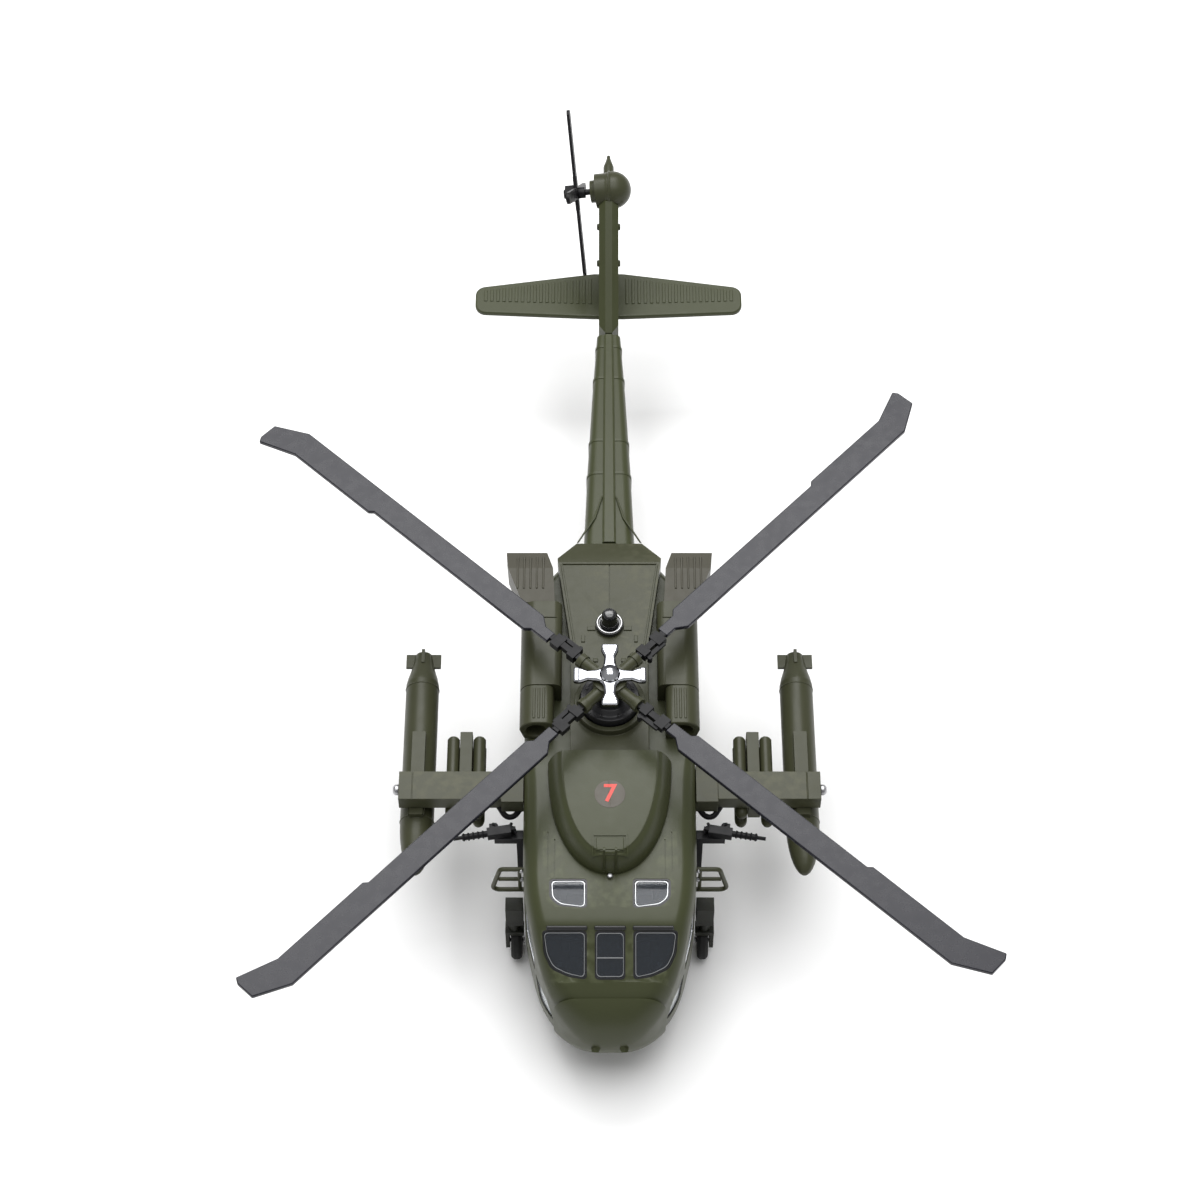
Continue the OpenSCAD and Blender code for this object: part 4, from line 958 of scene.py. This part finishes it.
gun_black = coat("gun_black", (0.006, 0.006, 0.007), (0.03, 0.03, 0.03), gloss=0.36, shine=0.2)
wing_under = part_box("stub_wing_left")[0].z
for side, hand in ((1, "left"), (-1, "right")):
    moulded(f"gun_mount_{hand}", "airframe", gun_black, "black_plastic", 0.2)
    moulded(f"gun_{hand}", f"gun_{hand}", gun_black, "black_plastic", 0.15)
    pin = Vector((side * 26 * MM, mast_y - 26 * MM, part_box(f"gun_{hand}")[0].z))
    aim = Vector((side * math.cos(math.radians(10)), -math.sin(math.radians(10)), 0))
    rings = []
    for k in range(5):
        choose()
        bpy.ops.mesh.primitive_torus_add(major_radius=0.72 * MM, minor_radius=0.26 * MM, major_segments=20,
                                         minor_segments=8,
                                         location=pin + aim * (4.0 + 1.15 * k) * MM + Vector((0, 0,
                                                                                              1.2 * MM)),
                                         rotation=(0, math.pi / 2, math.atan2(aim.y, aim.x)))
        bpy.ops.object.transform_apply(location=True, rotation=True, scale=True)
        rings.append(bpy.context.object)
    rings = join(f"gun_rings_{hand}", rings)
    smooth(rings)
    fit(rings, f"gun_{hand}", gun_black, "black_plastic")
    across = Vector((-aim.y, aim.x, 0)) * side
    at = lambda along, sideways, z: pin + aim * along * MM + across * sideways * MM + Vector((0, 0, z * MM))
    grips = [rod("grip", [at(-2.2, 0.2, 1.2), at(-3.0, 0.8, 1.5), at(-3.5, 0.2, 1.2), at(-3.6, -0.8, 1.0)],
                 0.42 * MM, bend=0.5 * MM),
             rod("grip", [at(-2.2, 0.2, 1.2), at(-2.8, 1.2, 1.7), at(-3.1, 1.6, 1.6)], 0.36 * MM,
                 bend=0.4 * MM),
             rod("feed", [at(0.6, 0.5, 1.6), at(0.6, 1.7, 1.8), at(1.4, 2.1, 1.5)], 0.5 * MM, bend=0.4 * MM)]
    grips = join(f"gun_grips_{hand}", grips)
    fit(grips, f"gun_{hand}", gun_black, "black_plastic")
    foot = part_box(f"stub_wing_{hand}")[0].y
    bracket = rod(f"wing_bracket_{hand}", [(side * (half_cabin + 0.9 * MM), foot + 0.6 * MM, wing_under),
                                           (side * (half_cabin + 2.2 * MM), foot - 0.5 * MM,
                                            wing_under - 1.6 * MM),
                                           (side * (half_cabin + 4.2 * MM), foot - 0.7 * MM,
                                            wing_under - 1.6 * MM),
                                           (side * (half_cabin + 6.0 * MM), foot + 1.6 * MM, wing_under)],
                                           0.7 * MM, bend=1.2 * MM)
    fit(bracket, "airframe", gun_black, "black_plastic")

# ---------------------------------------------------------------- rotor head
# An olive plastic hub with four arms turns on the steel mast. Black cuffs with pitch rods join the blades to
# the arms, and a plated cross is screwed on top.


def chrome_plate():
    material = bpy.data.materials.new("chrome_plate")
    material.use_nodes = True
    nodes, link = material.node_tree.nodes, material.node_tree.links.new
    shader = nodes["Principled BSDF"]
    place, smear = nodes.new("ShaderNodeTexCoord"), nodes.new("ShaderNodeTexNoise")
    smear.inputs["Scale"].default_value = 500
    level = nodes.new("ShaderNodeMapRange")
    level.inputs["To Min"].default_value, level.inputs["To Max"].default_value = 0.05, 0.2
    link(place.outputs["Object"], smear.inputs["Vector"])
    link(smear.outputs["Fac"], level.inputs["Value"])
    link(level.outputs["Result"], shader.inputs["Roughness"])
    # The colour darkens towards grazing angles: painted dark reflections round the plate's rounded edges.
    rim, painted_reflection_mask = nodes.new("ShaderNodeLayerWeight"), nodes.new("ShaderNodeMapRange")
    rim.inputs["Blend"].default_value = 0.5
    painted_reflection_mask.inputs["From Min"].default_value, painted_reflection_mask.inputs["From Max"].default_value = 0.12, 0.55
    link(rim.outputs["Facing"], painted_reflection_mask.inputs["Value"])
    mix = nodes.new("ShaderNodeMix")
    mix.data_type = "RGBA"
    mix.inputs["A"].default_value, mix.inputs["B"].default_value = (0.50, 0.51, 0.54, 1), (0.04, 0.04, 0.05,
                                                                                           1)
    link(painted_reflection_mask.outputs["Result"], mix.inputs["Factor"])
    link(mix.outputs["Result"], shader.inputs["Base Color"])
    shader.inputs["Metallic"].default_value = 1
    return material


chrome = chrome_plate()
moulded("rotor_mast", "main_rotor", steel, "steel", 0.1)
moulded("rotor_hub", "main_rotor", olive_plastic, "olive_plastic", 0.3, 3)
moulded("blade_grips", "main_rotor", gun_black, "black_plastic", 0.2)

cross_low, cross_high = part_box("vibration_cross")
cross_z = cross_low.z
reach = cross_high.x
outline = []
for quarter in range(4):
    turn = Matrix.Rotation(math.pi / 2 * quarter, 3, "Z")
    for x, y in ((1.9, -1.9), (3.2, -1.45), (5.2, -1.3), (6.3, -1.75), (6.9, -2.0), (8.4, -2.0),
                 (8.4, 2.0), (6.9, 2.0), (6.3, 1.75), (5.2, 1.3), (3.2, 1.45)):
        outline.append(turn @ Vector((x * MM, y * MM, 0)) + Vector((0, mast_y, cross_z)))
cross = prism("cross_plate", outline, Vector((0, 0, 1)), 1.7 * MM)
soften(cross, 0.7 * MM, 4, 30)
caps = []
for quarter in range(4):
    turn = Matrix.Rotation(math.pi / 2 * quarter, 4, "Z")
    end = block("cap", (7.0 * MM, -1.95 * MM, 0.1 * MM), (8.5 * MM, 1.95 * MM, 1.88 * MM))
    end.data.transform(Matrix.Translation((0, mast_y, cross_z)) @ turn)
    caps.append(end)
caps = join("cross_caps", caps)
soften(caps, 0.5 * MM, 4)
choose()
bpy.ops.mesh.primitive_uv_sphere_add(segments=40, ring_count=20, radius=2.5 * MM,
                                     location=(0, mast_y, cross_z + 1.2 * MM))
dome = bpy.context.object
dome.scale.z = 0.98
bpy.ops.object.transform_apply(location=True, rotation=True, scale=True)
slice_off(dome, (0, mast_y, cross_z + 0.8 * MM), (0, 0, 1))
choose()
bpy.ops.mesh.primitive_cylinder_add(vertices=40, radius=2.7 * MM, depth=1.5 * MM,
                                    location=(0, mast_y, cross_z + 0.85 * MM))
collar = bpy.context.object
soften(collar, 0.3 * MM, 3)
smooth(dome)
cross = join("plated_cross", [cross, caps, dome, collar])
fit(cross, "main_rotor", chrome, "chrome", "vibration_cross")

# ---------------------------------------------------------------- main rotor blades
# Flexible near-black plastic blades with a raised rim, a trailing tab and a swept tip. One of the four is
# pushed in upside down, so its tip sweeps the other way.

blade_dark = coat("blade_plastic", (0.006, 0.006, 0.012), (0.04, 0.04, 0.06), gloss=0.20, scuff_highlight_amount=0.3,
                  grain=2200, shine=0.3)
blade_low, blade_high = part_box("blade_rear_right")
blade_mid = (blade_low.z + blade_high.z) / 2
chord = 6
rest_turn = 2  # degrees past a square cross, as the head stands at rest
for index, name, flip in ((0, "rear_right", 1), (1, "rear_left", 1), (2, "front_left", -1),
                          (3, "front_right", 1)):
    c = chord / 2
    plan = [(18.7, -1.1), (21.7, -1.1), (24.2, -c), (60, -c), (105, -c),
            (113.2, 4.2 - c), (113.2, 8.9 - c), (112.4, c + 4.2),
            (103, c + 0.9), (77, c + 0.9), (76, c), (50, c), (25.2, c), (23.9, c - 1.2), (18.7, c - 1.2)]
    turn = Matrix.Rotation(math.radians(45 + rest_turn + 90 * index), 3, "Z")
    shape = [turn @ Vector((x * MM, flip * y * MM, 0)) + Vector((0, mast_y, blade_mid - 0.6 * MM)) for x,
             y in plan]
    blade = prism(f"blade_{name}_moulding", shape, Vector((0, 0, 1)), 1.2 * MM)
    choose(blade)
    bpy.ops.object.mode_set(mode="EDIT")
    for up in (1, -1):
        mesh = bmesh.from_edit_mesh(blade.data)
        for face in mesh.faces:
            face.select_set(face.normal.z * up > 0.9)
        mesh.select_flush_mode()
        bmesh.update_edit_mesh(blade.data)
        bpy.ops.mesh.inset(thickness=0.55 * MM)
        bpy.ops.mesh.inset(thickness=0.12 * MM, depth=-0.3 * MM)
    bpy.ops.object.mode_set(mode="OBJECT")
    soften(blade, 0.25 * MM, 4, 30)
    fit(blade, "main_rotor", blade_dark, "blade_plastic", f"blade_{name}")

# ---------------------------------------------------------------- tail rotor
# Four black plastic paddles moulded in one piece with a square hub, on a pin in the gearbox.

moulded("tail_rotor_hub", "tail_rotor", gun_black, "black_plastic", 0.25)
moulded("tail_rotor_blades", "tail_rotor", gun_black, "black_plastic", 0.25, 3)

# ---------------------------------------------------------------- floor, lights and camera
# A pale flat floor under a wide soft box overhead and a panel above and behind, with a weak even fill from
# the world.

choose()
bpy.ops.mesh.primitive_plane_add(size=6, location=(0, 0, 0))
floor = bpy.context.object
floor.name = "studio_floor"
paper = bpy.data.materials.new("studio_paper")
paper.use_nodes = True
paper.node_tree.nodes["Principled BSDF"].inputs["Base Color"].default_value = (0.93, 0.93, 0.93, 1)
paper.node_tree.nodes["Principled BSDF"].inputs["Roughness"].default_value = 0.9
floor.data.materials.append(paper)


def soft_box(name, place, aim, size, power):
    light = bpy.data.lights.new(name, "AREA")
    light.shape = "RECTANGLE"
    light.size, light.size_y = size
    light.energy = power
    box = bpy.data.objects.new(name, light)
    bpy.context.scene.collection.objects.link(box)
    box.location = place
    box.rotation_euler = (Vector(aim) - Vector(place)).to_track_quat("-Z", "Y").to_euler()


soft_box("overhead_box", (0, -0.05, 1.0), (0, 0, 0), (1.0, 0.7), 7.5)
soft_box("back_panel", (-0.06, 0.50, 0.86), (0, -0.03, 0), (0.8, 0.42), 7)
world = bpy.data.worlds.new("studio_air")
world.use_nodes = True
world.node_tree.nodes["Background"].inputs["Color"].default_value = (1, 1, 1, 1)
world.node_tree.nodes["Background"].inputs["Strength"].default_value = 0.42
bpy.context.scene.world = world

tilt = math.radians(55.1)
looks_at = Vector((-2.3 * MM, mast_y + 23.6 * MM, blade_mid))
lens = bpy.data.cameras.new("camera")
lens.lens = 84
lens.sensor_width = 36
camera = bpy.data.objects.new("camera", lens)
bpy.context.scene.collection.objects.link(camera)
camera.location = looks_at + Vector((0, -math.cos(tilt), math.sin(tilt))) * 670 * MM
camera.rotation_euler = (looks_at - camera.location).to_track_quat("-Z", "Y").to_euler()
bpy.context.scene.camera = camera
bpy.context.scene.view_settings.view_transform = "Standard"
